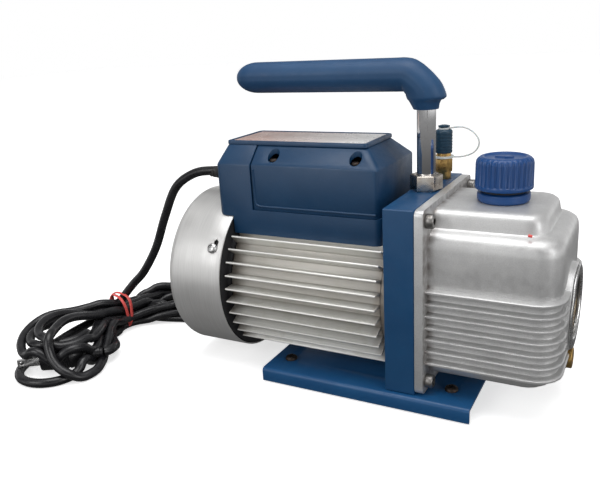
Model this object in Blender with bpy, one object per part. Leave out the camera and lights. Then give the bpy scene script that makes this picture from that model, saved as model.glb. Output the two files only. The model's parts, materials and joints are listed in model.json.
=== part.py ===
"""Rotary vane vacuum pump: motor, pump body, oil casing, terminal box, carry handle and cord.

Run with: blender --background --python part.py
Units are metres, +Z is up and the floor is z = 0. +X runs from the fan end to the oil casing,
and -Y is the front, where the casing's side and the motor's side are seen.
The origin is the middle of the machine's footprint, without the cord.
"""

import math

import bmesh
import bpy
from mathutils import Matrix, Vector

MM = 0.001

# ---- driving dimensions, in millimetres ----
GAP = 0.3                       # working gap left between neighbouring pieces

AXIS_Z = 65.2                   # height of the motor and pump shaft

BASE_X0, BASE_X1 = -62.5, 86.9  # base plate, a folded sheet steel channel
BASE_HALF_WIDTH = 59.1
BASE_TOP = 11.1
BASE_SKIRT_LIFT = 1.2
SHEET = 1.8
FOOT_X = (-49.5, 70.0)
FOOT_Y = 38.5
FOOT_RADIUS = 8.0

PLATE_X0, PLATE_X1 = 30.0, 50.0  # pump body, the painted block between motor and oil casing
PLATE_HALF_WIDTH = 55.1
PLATE_TOP = 135.0

FLANGE_X1 = 55.8                # oil casing flange
CASING_X1 = 133.5               # end wall of the oil casing
CASING_BOTTOM = 23.0
CASING_HALF_WIDTH = 45.2
LEDGE_Z = 119.0
CASING_TOP = 131.0
FIN_COUNT = 7
FIN_TOP_Z = 81.9
FIN_PITCH = 8.1
FIN_REACH = 5.8
FIN_HALF_THICK = 1.35

GLASS_BOSS_RADIUS = 28.0
GLASS_RING_END = 139.0
GLASS_RADIUS = 22.0
DRAIN_Z = 28.9

CAP_X = 90.75                   # oil filler cap
CAP_RADIUS = 18.0
CAP_BOTTOM, CAP_TOP = 139.1, 159.5
CAP_FLUTES = 26
COLLAR_RADIUS = 16.4

BARREL_RADIUS = 48.2            # motor housing
MOTOR_FIN_RADIUS = 57.9
MOTOR_X0, MOTOR_X1 = -89.6, 24.7
MOTOR_FIN_FIRST = 41.0
MOTOR_FIN_PITCH = 9.68
MOTOR_FINS_PER_SIDE = 10

COVER_X0, COVER_X1 = -139.0, -92.1   # fan cover
COVER_RADIUS = 61.5
COVER_WALL = 1.3

BOX_X0, BOX_X1 = -103.7, 20.9   # terminal box on top of the motor
BOX_HALF_WIDTH = 36.0
BOX_SKIRT_Z = 103.5
BOX_STEP_X, BOX_STEP_Z = -91.5, 115.2
BOX_SHOULDER_Z, BOX_SLOPE = 153.8, 12.2
BOX_LID_Z = 165.4
BOX_GROOVE_X = -74.9
BOX_PANEL_Z = 121.5
BOX_WALL = 3.0

ROD_X, ROD_RADIUS = 40.2, 6.2   # carry handle
GRIP_Z, GRIP_RADIUS = 209.6, 10.7
GRIP_TIP_X = -101.4
FERRULE_Z = 188.0

INTAKE_X, INTAKE_Y = 41.4, 35.8  # intake port

CORD_RADIUS = 3.5
GLAND_Y, GLAND_Z = -10.0, 141.5

ROCKER_Y, ROCKER_DEPTH = 16.5, 7.5   # rocker switch pivot, in the end wall of the terminal box
ROCKER_TILT = 7.0


# ---- small tools ----

def clear_scene():
    for obj in list(bpy.data.objects):
        bpy.data.objects.remove(obj, do_unlink=True)
    for mesh in list(bpy.data.meshes):
        bpy.data.meshes.remove(mesh)


def material(name, colour, metallic=0.0, roughness=0.5, alpha=1.0):
    mat = bpy.data.materials.get(name)
    if mat is None:
        mat = bpy.data.materials.new(name)
        mat.use_nodes = True
        bsdf = mat.node_tree.nodes["Principled BSDF"]
        bsdf.inputs["Base Color"].default_value = (*colour, 1.0)
        bsdf.inputs["Metallic"].default_value = metallic
        bsdf.inputs["Roughness"].default_value = roughness
        bsdf.inputs["Alpha"].default_value = alpha
    return mat


PAINT_NAVY = ("navy_plastic", (0.030, 0.075, 0.150), 0.0, 0.42)
PAINT_BODY = ("blue_paint", (0.032, 0.110, 0.240), 0.0, 0.45)
PAINT_BASE = ("blue_base_paint", (0.026, 0.120, 0.290), 0.0, 0.40)
GRIP_RUBBER = ("blue_grip_rubber", (0.040, 0.125, 0.260), 0.0, 0.62)
CAP_BLUE = ("blue_cap_plastic", (0.020, 0.100, 0.330), 0.0, 0.38)
CAST = ("cast_aluminium", (0.60, 0.60, 0.61), 0.85, 0.42)
FINNED = ("extruded_aluminium", (0.74, 0.73, 0.69), 0.70, 0.40)
SHEET_STEEL = ("brushed_sheet", (0.62, 0.62, 0.61), 0.85, 0.38)
CHROME = ("chrome", (0.80, 0.80, 0.80), 1.0, 0.10)
NICKEL = ("nickel_steel", (0.58, 0.54, 0.50), 1.0, 0.28)
ZINC = ("zinc_screw", (0.62, 0.62, 0.62), 1.0, 0.32)
DARK_STEEL = ("dark_steel", (0.10, 0.09, 0.085), 0.9, 0.40)
BRASS = ("brass", (0.56, 0.36, 0.13), 1.0, 0.35)
BLACK_CAST = ("black_shield", (0.020, 0.020, 0.022), 0.1, 0.55)
BLACK_RUBBER = ("black_rubber", (0.022, 0.022, 0.022), 0.0, 0.60)
CORD_PVC = ("black_pvc", (0.016, 0.016, 0.018), 0.0, 0.32)
RED_RUBBER = ("red_rubber", (0.72, 0.07, 0.06), 0.0, 0.45)
GLASS = ("sight_glass", (0.80, 0.86, 0.84), 0.0, 0.05, 0.45)
WHITE_STRAP = ("white_strap", (0.80, 0.80, 0.76), 0.0, 0.45)
STEEL = ("steel", (0.45, 0.45, 0.46), 1.0, 0.35)
LAMINATION = ("lamination_steel", (0.28, 0.28, 0.30), 0.9, 0.45)
COPPER = ("copper_winding", (0.62, 0.25, 0.10), 0.8, 0.40)
WHITE_NYLON = ("white_nylon", (0.75, 0.74, 0.70), 0.0, 0.50)
CARBON = ("vane_composite", (0.10, 0.075, 0.06), 0.0, 0.60)
LABEL = ("label_paper", (0.70, 0.66, 0.60), 0.0, 0.35)


def make(name, verts, faces, finish):
    """A named object from points in millimetres, with outward faces."""
    mesh = bpy.data.meshes.new(name)
    mesh.from_pydata([Vector(v) * MM for v in verts], [], faces)
    work = bmesh.new()
    work.from_mesh(mesh)
    bmesh.ops.remove_doubles(work, verts=work.verts, dist=0.002 * MM)
    bmesh.ops.recalc_face_normals(work, faces=work.faces)
    work.to_mesh(mesh)
    work.free()
    obj = bpy.data.objects.new(name, mesh)
    bpy.context.collection.objects.link(obj)
    obj.data.materials.append(material(*finish))
    return obj


def loft(name, rings, finish, close=False):
    """Skin between rings of equal length; the ends are capped unless the loft closes on itself."""
    n = len(rings[0])
    verts = [p for ring in rings for p in ring]
    faces = []
    count = len(rings)
    spans = count if close else count - 1
    for i in range(spans):
        a = i * n
        b = ((i + 1) % count) * n
        for k in range(n):
            k2 = (k + 1) % n
            faces.append((a + k, a + k2, b + k2, b + k))
    if not close:
        faces.append(tuple(range(n - 1, -1, -1)))
        faces.append(tuple((count - 1) * n + k for k in range(n)))
    return make(name, verts, faces, finish)


def circle(centre, axis, radius, segments=32, phase=0.0):
    """Points of a circle about an axis named 'x', 'y' or 'z'."""
    points = []
    for k in range(segments):
        t = 2 * math.pi * k / segments + phase
        c, s = radius * math.cos(t), radius * math.sin(t)
        offset = {"x": (0, c, s), "y": (s, 0, c), "z": (c, s, 0)}[axis]
        points.append(tuple(centre[i] + offset[i] for i in range(3)))
    return points


def lathe(name, axis, centre, profile, finish, segments=32, phase=0.0):
    """Turned solid: profile is a list of (distance along the axis, radius), capped at both ends."""
    step = {"x": (1, 0, 0), "y": (0, 1, 0), "z": (0, 0, 1)}[axis]
    rings = []
    for along, radius in profile:
        spot = tuple(centre[i] + step[i] * along for i in range(3))
        rings.append(circle(spot, axis, max(radius, 0.02), segments, phase))
    return loft(name, rings, finish)


def turned_ring(name, axis, centre, profile, finish, segments=32):
    """Turned solid with a hole: profile is a closed list of (along, radius)."""
    step = {"x": (1, 0, 0), "y": (0, 1, 0), "z": (0, 0, 1)}[axis]
    rings = []
    for along, radius in profile:
        spot = tuple(centre[i] + step[i] * along for i in range(3))
        rings.append(circle(spot, axis, radius, segments))
    return loft(name, rings, finish, close=True)


def box(name, x0, x1, y0, y1, z0, z1, finish, bevel=0.0):
    verts = [(x, y, z) for x in (x0, x1) for y in (y0, y1) for z in (z0, z1)]
    faces = [(0, 1, 3, 2), (4, 6, 7, 5), (0, 4, 5, 1), (2, 3, 7, 6), (0, 2, 6, 4), (1, 5, 7, 3)]
    obj = make(name, verts, faces, finish)
    if bevel:
        round_edges(obj, bevel)
    return obj


def round_edges(obj, width, segments=1, angle=30.0):
    mod = obj.modifiers.new("edge_round", "BEVEL")
    mod.width = width * MM
    mod.segments = segments
    mod.limit_method = "ANGLE"
    mod.angle_limit = math.radians(angle)
    apply_modifiers(obj)


def apply_modifiers(obj):
    graph = bpy.context.evaluated_depsgraph_get()
    graph.update()
    mesh = bpy.data.meshes.new_from_object(obj.evaluated_get(graph))
    obj.modifiers.clear()
    old = obj.data
    obj.data = mesh
    mesh.name = obj.name
    bpy.data.meshes.remove(old)


def boolean(obj, other, operation):
    mod = obj.modifiers.new("cut", "BOOLEAN")
    mod.operation = operation
    mod.solver = "EXACT"
    mod.object = other
    apply_modifiers(obj)
    bpy.data.objects.remove(other, do_unlink=True)
    keep = obj.data.materials[0]
    obj.data.materials.clear()
    obj.data.materials.append(keep)
    for face in obj.data.polygons:
        face.material_index = 0
    return obj


def cut(obj, *tools):
    for tool in tools:
        boolean(obj, tool, "DIFFERENCE")
    return obj


def fuse(obj, *others):
    for other in others:
        boolean(obj, other, "UNION")
    return obj


def drill(axis, centre, radius, start, end, segments=24):
    return lathe("drill", axis, centre, [(start, radius), (end, radius)], STEEL, segments)


def rounded_plan(x0, x1, half_width, radius, z, steps=6):
    """Plan outline, square at x0 and rounded at its x1 corners."""
    points = [(x0, -half_width, z)]
    for side in (-1, 1):
        cx, cy = x1 - radius, side * (half_width - radius)
        for k in range(steps + 1):
            t = math.radians(90.0 * k / steps)
            if side < 0:
                points.append((cx + radius * math.sin(t), cy - radius * math.cos(t), z))
            else:
                points.append((cx + radius * math.cos(t), cy + radius * math.sin(t), z))
    points.append((x0, half_width, z))
    return points


def sweep(path, radius, segments=16):
    """Rings of a round bar along a path in a plane of constant y."""
    rings = []
    for i, spot in enumerate(path):
        before = Vector(path[max(i - 1, 0)])
        after = Vector(path[min(i + 1, len(path) - 1)])
        along = (after - before).normalized()
        side = Vector((0, 1, 0))
        up = along.cross(side).normalized()
        ring = []
        for k in range(segments):
            t = 2 * math.pi * k / segments
            p = Vector(spot) + (side * math.cos(t) + up * math.sin(t)) * radius
            ring.append(tuple(p))
        rings.append(ring)
    return rings


# ---- base ----

def build_base():
    w, s, top, low = BASE_HALF_WIDTH, SHEET, BASE_TOP, BASE_SKIRT_LIFT
    bend = 2.6
    outer = [(-w, low), (-w, top - bend)]
    for k in range(1, 5):
        t = math.radians(90.0 * k / 4)
        outer.append((-w + bend - bend * math.cos(t), top - bend + bend * math.sin(t)))
    outer += [(-y, z) for y, z in reversed(outer)]
    inner_bend = bend - s
    inner = [(-w + s, low), (-w + s, top - bend)]
    for k in range(1, 3):
        t = math.radians(90.0 * k / 2)
        inner.append((-w + bend - inner_bend * math.cos(t), top - bend + inner_bend * math.sin(t)))
    inner += [(-y, z) for y, z in reversed(inner)]
    section = outer + inner[::-1]
    rings = [[(x, y, z) for y, z in section] for x in (BASE_X0, BASE_X1)]
    base = loft("base_plate", rings, PAINT_BASE)
    under = top - s
    for fx in FOOT_X:
        for fy in (-FOOT_Y, FOOT_Y):
            cut(base, drill("z", (fx, fy, 0), 3.1, under - 2, top + 2, 12))
    for sy in (-40.0, 40.0):
        cut(base, drill("z", (40.0, sy, 0), 2.9, under - 2, top + 2, 12))

    corners = {"foot_fan_front": (FOOT_X[0], -FOOT_Y), "foot_fan_back": (FOOT_X[0], FOOT_Y),
               "foot_oil_front": (FOOT_X[1], -FOOT_Y), "foot_oil_back": (FOOT_X[1], FOOT_Y)}
    for name, (fx, fy) in corners.items():
        lathe(name, "z", (fx, fy, 0),
              [(0.0, FOOT_RADIUS - 1.0), (1.0, FOOT_RADIUS), (under - GAP, FOOT_RADIUS - 0.8),
               (under - GAP, 2.7), (top + 0.2, 2.7), (top + 0.25, 4.4), (top + 1.1, 4.0),
               (top + 1.7, 2.4)], BLACK_RUBBER, 14)


def hex_bar(axis, centre, radius, start, end, phase=0.0):
    """Six sided bar; centre holds the two coordinates across the axis."""
    if axis == "z":
        spot = (centre[0], centre[1], 0)
    elif axis == "x":
        spot = (0, centre[0], centre[1])
    else:
        spot = (centre[0], 0, centre[1])
    return lathe("hex", axis, spot, [(start, radius), (end, radius)], STEEL, 6, phase)


# ---- pump body and its internals ----

def build_pump_body():
    body = box("pump_body", PLATE_X0, PLATE_X1, -PLATE_HALF_WIDTH, PLATE_HALF_WIDTH,
               BASE_TOP + GAP, PLATE_TOP, PAINT_BODY, bevel=0.6)
    shaft = (0, 0, AXIS_Z)
    cut(body,
        drill("x", shaft, 15.4, 29.0, 40.3, 28),
        drill("x", shaft, 8.4, 39.0, 52.0, 16),
        drill("x", shaft, 12.2, 43.0, 52.0, 24),
        drill("z", (ROD_X, 0, 0), ROD_RADIUS + GAP, 118.0, 137.0, 20),
        drill("z", (INTAKE_X, INTAKE_Y, 0), 4.5, 118.0, 137.0, 16))
    for sy in (-40.0, 40.0):
        cut(body, drill("z", (40.0, sy, 0), 2.7, 9.0, 21.0, 14))
    for sy, sz in casing_screw_places().values():
        cut(body, drill("x", (0, sy, sz), 2.8, 38.0, 52.0, 14))


def casing_screw_places():
    return {"casing_screw_top_front": (-48.6, 127.6), "casing_screw_top_back": (48.6, 127.6),
            "casing_screw_low_front": (-48.6, 20.4), "casing_screw_low_back": (48.6, 20.4)}


def build_casing_screws():
    for name, (sy, sz) in casing_screw_places().items():
        screw = lathe(name, "x", (0, sy, sz),
                      [(40.0, 2.4), (FLANGE_X1 + 0.2, 2.4), (FLANGE_X1 + 0.2, 4.5),
                       (FLANGE_X1 + 4.7, 4.5), (FLANGE_X1 + 5.2, 4.0)], NICKEL, 16)
        cut(screw, hex_bar("x", (sy, sz), 2.4, FLANGE_X1 + 2.6, FLANGE_X1 + 6.0))


def build_pump_internals():
    bore_z = AXIS_Z - 2.9
    cylinder = lathe("pump_cylinder", "x", (0, 0, AXIS_Z), [(50.4, 30.0), (78.0, 30.0)], CAST, 40)
    cut(cylinder, drill("x", (0, 0, bore_z), 20.0, 49.0, 80.0, 40))

    rotor = lathe("pump_rotor", "x", (0, 0, AXIS_Z), [(50.8, 16.7), (77.6, 16.7)], STEEL, 36)
    cut(rotor, drill("x", (0, 0, AXIS_Z), 6.3, 49.0, 59.6, 20))
    cut(rotor, box("slot", 60.6, 79.0, -1.7, 1.7, AXIS_Z - 18.0, AXIS_Z + 18.0, STEEL))
    box("vane_upper", 61.0, 77.5, -1.4, 1.4, AXIS_Z + 3.2, AXIS_Z + 16.4, CARBON)
    box("vane_lower", 61.0, 77.5, -1.4, 1.4, AXIS_Z - 16.4, AXIS_Z - 3.2, CARBON)
    lathe("pump_end_plate", "x", (0, 0, AXIS_Z), [(78.3, 30.0), (83.3, 30.0)], CAST, 40)

    turned_ring("shaft_seal", "x", (0, 0, AXIS_Z),
                [(43.3, 6.3), (43.3, 11.9), (49.7, 11.9), (49.7, 6.3)], BLACK_RUBBER, 24)


# ---- oil casing ----

def casing_profile():
    """Height by height: half width, end position and corner radius of the casing's outside."""
    w, e = CASING_HALF_WIDTH, CASING_X1
    rows = [(CASING_BOTTOM, w - 6.0, e - 9.0, 12.0),
            (CASING_BOTTOM + 1.0, w - 4.2, e - 6.6, 12.5),
            (CASING_BOTTOM + 3.2, w - 2.4, e - 3.6, 13.0),
            (CASING_BOTTOM + 6.5, w - 1.2, e - 1.4, 13.5)]
    for i in range(FIN_COUNT - 1, -1, -1):
        z = FIN_TOP_Z - i * FIN_PITCH
        full = FIN_REACH
        for dz, reach in ((-1.45, 0.0), (-1.2, 0.78), (-0.6, 1.0), (0.6, 1.0), (1.2, 0.78),
                          (1.45, 0.0)):
            rows.append((z + dz, w + full * reach, e + 3.4 * reach, 14.0 + 3.5 * reach))
    rows += [(86.0, w + 0.6, e + 0.4, 15.0),
             (108.0, w - 0.2, e + 0.2, 15.5),
             (112.5, w - 0.7, e - 0.2, 15.5),
             (115.6, w - 2.3, e - 1.4, 15.5),
             (117.6, w - 4.8, e - 3.6, 15.0),
             (118.6, w - 7.4, e - 6.4, 14.0),
             (LEDGE_Z, w - 9.0, e - 8.6, 13.0),
             (LEDGE_Z + 0.7, w - 10.0, e - 10.0, 12.5),
             (LEDGE_Z + 3.0, w - 10.4, e - 10.8, 12.0),
             (LEDGE_Z + 6.8, w - 10.9, e - 11.4, 12.0),
             (LEDGE_Z + 9.4, w - 12.0, e - 12.4, 11.5),
             (LEDGE_Z + 11.2, w - 14.2, e - 14.4, 10.5),
             (CASING_TOP, w - 17.5, e - 17.4, 9.0)]
    return rows


def build_casing():
    rings = [rounded_plan(52.5, xe, hw, r, z, 5) for z, hw, xe, r in casing_profile()]
    casing = loft("oil_casing", rings, CAST)
    corner = 4.0
    y0, z0, z1 = PLATE_HALF_WIDTH, BASE_TOP + 1.2, PLATE_TOP
    outline = []
    for cy, cz, start in ((y0 - corner, z1 - corner, 0), (-y0 + corner, z1 - corner, 90),
                          (-y0 + corner, z0 + corner, 180), (y0 - corner, z0 + corner, 270)):
        for k in range(4):
            t = math.radians(start + 30.0 * k)
            outline.append((cy + corner * math.cos(t), cz + corner * math.sin(t)))
    flange = [[(x, y, z) for y, z in outline] for x in (PLATE_X1 + GAP, FLANGE_X1)]
    fuse(casing, loft("flange", flange, CAST))
    shaft = (0, 0, AXIS_Z)
    fuse(casing, lathe("boss", "x", shaft, [(CASING_X1 - 3.0, GLASS_BOSS_RADIUS + 0.8),
                                            (CASING_X1 + 3.6, GLASS_BOSS_RADIUS),
                                            (CASING_X1 + 4.0, GLASS_BOSS_RADIUS - 0.6)], CAST, 40))
    fuse(casing, lathe("drain_boss", "x", (0, 0, DRAIN_Z),
                       [(CASING_X1 - 8.0, 8.6), (CASING_X1 + 0.6, 8.0)], CAST, 20))
    # the oil room: height, half width, depth of the end wall and corner radius
    room = [(29.5, 36.0, 13.5, 10.0), (32.0, 39.5, 6.5, 11.0), (84.0, 41.2, 4.2, 12.0),
            (112.0, 40.4, 4.9, 12.0), (115.0, 34.0, 11.5, 10.0), (116.4, 31.0, 14.7, 9.0),
            (125.0, 30.4, 15.5, 9.0), (127.0, 28.4, 17.1, 8.0)]
    inside = [rounded_plan(45.0, CASING_X1 - wall, hw, r, z, 4) for z, hw, wall, r in room]
    past = GLASS_RING_END + 3.0
    cut(casing,
        loft("inside", inside, CAST),
        drill("x", shaft, GLASS_RADIUS - 3.0, CASING_X1 - 8.5, past, 32),
        drill("x", shaft, GLASS_RADIUS + 1.2, CASING_X1 + 0.2, past, 32),
        drill("x", (0, 0, DRAIN_Z), 4.6, CASING_X1 - 13.5, past, 16),
        drill("x", (0, 0, DRAIN_Z), 8.0, CASING_X1 + 0.6, past, 20),
        drill("z", (CAP_X, 0, 0), 11.5, 120.0, 134.0, 28))
    for sy, sz in casing_screw_places().values():
        cut(casing, drill("x", (0, sy, sz), 2.8, 48.0, 58.0, 12))

    ring_x0 = CASING_X1 + 4.0 + GAP
    lathe("sight_glass", "x", shaft,
          [(CASING_X1 + 0.6, GLASS_RADIUS), (CASING_X1 + 3.5, GLASS_RADIUS)], GLASS, 36)
    turned_ring("sight_glass_ring", "x", shaft,
                [(ring_x0, GLASS_RADIUS - 1.6), (ring_x0, GLASS_BOSS_RADIUS - 0.8),
                 (GLASS_RING_END - 0.4, GLASS_BOSS_RADIUS - 0.8),
                 (GLASS_RING_END, GLASS_BOSS_RADIUS - 1.4), (GLASS_RING_END, GLASS_RADIUS - 0.8)],
                ZINC, 36)


def build_drain_plug():
    x0 = CASING_X1 + 0.6
    spot = (0, 0, DRAIN_Z)
    turned_ring("drain_plug_washer", "x", spot,
                [(x0 + 0.2, 4.9), (x0 + 0.2, 7.2), (x0 + 1.2, 7.2), (x0 + 1.2, 4.9)], BRASS, 20)
    plug = lathe("drain_plug", "x", spot,
                 [(x0 - 8.0, 4.2), (x0 + 1.4, 4.2), (x0 + 1.4, 7.0), (x0 + 4.0, 7.0),
                  (x0 + 4.5, 6.4)], NICKEL, 20)
    cut(plug, hex_bar("x", (0, DRAIN_Z), 3.0, x0 + 1.6, x0 + 7.0))


def build_oil_cap():
    neck = [(132.0, COLLAR_RADIUS - 0.4), (132.6, COLLAR_RADIUS), (136.4, COLLAR_RADIUS),
            (136.9, COLLAR_RADIUS - 0.5)]
    collar = lathe("oil_filler_collar", "z", (CAP_X, 0, 0),
                   [(124.0, 11.1), (131.3, 11.1), (131.3, COLLAR_RADIUS - 0.8)] + neck
                   + [(136.9, 13.0), (137.2, 13.0)], CAP_BLUE, 32)
    cut(collar, drill("z", (CAP_X, 0, 0), 8.6, 120.0, 140.0, 20))
    turned_ring("oil_cap_seal", "z", (CAP_X, 0, 0),
                [(137.5, 9.6), (137.5, 14.6), (138.8, 14.6), (138.8, 9.6)], BLACK_RUBBER, 28)
    rows = [(CAP_BOTTOM, -0.9, 0.2), (CAP_BOTTOM + 0.9, 0.0, 1.0), (CAP_TOP - 3.2, -0.2, 1.0),
            (CAP_TOP - 0.9, -1.4, 0.4), (CAP_TOP, -3.2, 0.0)]
    rings = []
    for z, grow, depth in rows:
        ring = []
        for k in range(CAP_FLUTES * 2):
            t = 2 * math.pi * k / (CAP_FLUTES * 2)
            dip = (0.0, 1.0)[k % 2] * 0.9 * depth
            r = CAP_RADIUS + grow - dip
            ring.append((CAP_X + r * math.cos(t), r * math.sin(t), z))
        rings.append(ring)
    cap = loft("oil_fill_cap", rings, CAP_BLUE)
    fuse(cap, lathe("stub", "z", (CAP_X, 0, 0), [(127.0, 7.4), (CAP_BOTTOM + 1.0, 7.8)], CAP_BLUE, 16))
    cut(cap, lathe("dish", "z", (CAP_X, 0, 0), [(CAP_TOP - 0.9, 12.4), (CAP_TOP + 2.0, 13.6)],
                   CAP_BLUE, 32))
    arrow = [(-6.0, -1.2), (0.5, -1.2), (0.5, -3.4), (5.6, 0.0), (0.5, 3.4), (0.5, 1.2), (-6.0, 1.2)]
    rings = [[(CAP_X + x, y, z) for x, y in arrow] for z in (CAP_TOP - 1.2, CAP_TOP - 0.35)]
    fuse(cap, loft("arrow", rings, CAP_BLUE))


# ---- motor ----

def motor_section():
    """Cross-section of the housing: barrel with radial fins on both sides and a seat on top."""
    seat_half, seat_top = 33.0, BOX_SKIRT_Z - GAP

    def at(radius, degrees):
        t = math.radians(degrees)
        return (radius * math.cos(t), AXIS_Z + radius * math.sin(t))

    seat_angle = math.degrees(math.acos(seat_half / BARREL_RADIUS))
    right = [(seat_half, seat_top), at(BARREL_RADIUS, seat_angle)]
    for i in range(MOTOR_FINS_PER_SIDE):
        a = MOTOR_FIN_FIRST - i * MOTOR_FIN_PITCH
        root = math.degrees(1.25 / BARREL_RADIUS)
        tip = math.degrees(0.62 / MOTOR_FIN_RADIUS)
        right += [at(BARREL_RADIUS, a + root), at(MOTOR_FIN_RADIUS - 0.3, a + tip),
                  at(MOTOR_FIN_RADIUS, a), at(MOTOR_FIN_RADIUS - 0.3, a - tip),
                  at(BARREL_RADIUS, a - root)]
        if i < MOTOR_FINS_PER_SIDE - 1:
            right.append(at(BARREL_RADIUS, a - MOTOR_FIN_PITCH / 2))
    last = MOTOR_FIN_FIRST - (MOTOR_FINS_PER_SIDE - 1) * MOTOR_FIN_PITCH
    for k in range(1, 6):
        right.append(at(BARREL_RADIUS, last + (-90.0 - last) * k / 6))
    return right + [at(BARREL_RADIUS, -90.0)] + [(-y, z) for y, z in reversed(right)]


def build_motor():
    shaft = (0, 0, AXIS_Z)
    section = motor_section()
    rings = [[(x, y, z) for y, z in section] for x in (MOTOR_X0, MOTOR_X1)]
    housing = loft("motor_housing", rings, FINNED)
    fuse(housing, lathe("barrel", "x", shaft, [(MOTOR_X0 + 0.4, 47.6), (29.7, 47.6)], FINNED, 56))
    cut(housing, drill("x", shaft, 44.2, MOTOR_X0 - 2, 32.0, 48),
        drill("z", (-20.0, 0, 0), 7.0, 100.0, 116.0, 14))

    shield = lathe("end_shield", "x", shaft, [(-106.0, 59.6), (-92.6, 59.6), (-92.6, 50.0),
                                              (-89.9, 50.0)], BLACK_CAST, 48)
    fuse(shield, lathe("hub", "x", shaft, [(-91.0, 19.0), (-80.5, 18.0)], BLACK_CAST, 28))
    cut(shield, drill("x", shaft, 55.2, -108.0, -96.5, 48),
        drill("x", shaft, 15.4, -90.3, -79.0, 28),
        drill("x", shaft, 7.4, -98.0, -79.0, 16))
    for k in range(6):
        t = math.radians(30.0 + 60.0 * k)
        cut(shield, drill("x", (0, 33.0 * math.cos(t), AXIS_Z + 33.0 * math.sin(t)),
                          6.0, -98.0, -86.0, 10))
    for angle in cover_screw_angles():
        cut(shield, radial_bar(angle, 1.8, 50.0, 62.0))

    turned_ring("stator_core", "x", shaft, [(-55.0, 24.3), (-55.0, 43.8), (5.0, 43.8), (5.0, 24.3)],
                LAMINATION, 40)
    for name, x0, x1 in (("winding_fan_end", -75.0, -55.4), ("winding_pump_end", 5.4, 25.0)):
        turned_ring(name, "x", shaft,
                    [(x0, 28.0), (x0 + 2.0, 39.5), (x1 - 2.0, 39.5), (x1, 28.0)], COPPER, 30)
    turned_ring("motor_rotor", "x", shaft,
                [(-60.0, 12.5), (-60.0, 23.0), (10.0, 23.0), (10.0, 12.5), (5.0, 8.0),
                 (-55.0, 8.0)], LAMINATION, 32)
    lathe("motor_shaft", "x", shaft,
          [(-125.0, 4.4), (-124.4, 5.0), (-108.0, 5.0), (-92.0, 6.0), (-78.5, 6.0), (-78.5, 7.7),
           (28.5, 7.7), (28.5, 6.0), (59.0, 6.0)], STEEL, 20)
    for name, x0, x1 in (("bearing_fan_end", -90.0, -79.2), ("bearing_pump_end", 30.4, 40.0)):
        turned_ring(name, "x", shaft, [(x0, 6.3), (x0, 15.1), (x1, 15.1), (x1, 6.3)], STEEL, 28)


def cover_screw_angles():
    return (29.4, 150.6, 270.0)


def radial_bar(angle, radius, r0, r1, segments=14):
    """Round bar that points outward from the shaft at the fan cover's screw line."""
    t = math.radians(angle)
    out = Vector((0, -math.cos(t), math.sin(t)))
    side = Vector((1, 0, 0))
    up = out.cross(side)
    centre = Vector((-100.0, 0, AXIS_Z))
    rings = []
    for r in (r0, r1):
        rings.append([tuple(centre + out * r + side * (radius * math.cos(2 * math.pi * k / segments))
                            + up * (radius * math.sin(2 * math.pi * k / segments)))
                      for k in range(segments)])
    return loft("bar", rings, STEEL)


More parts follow.
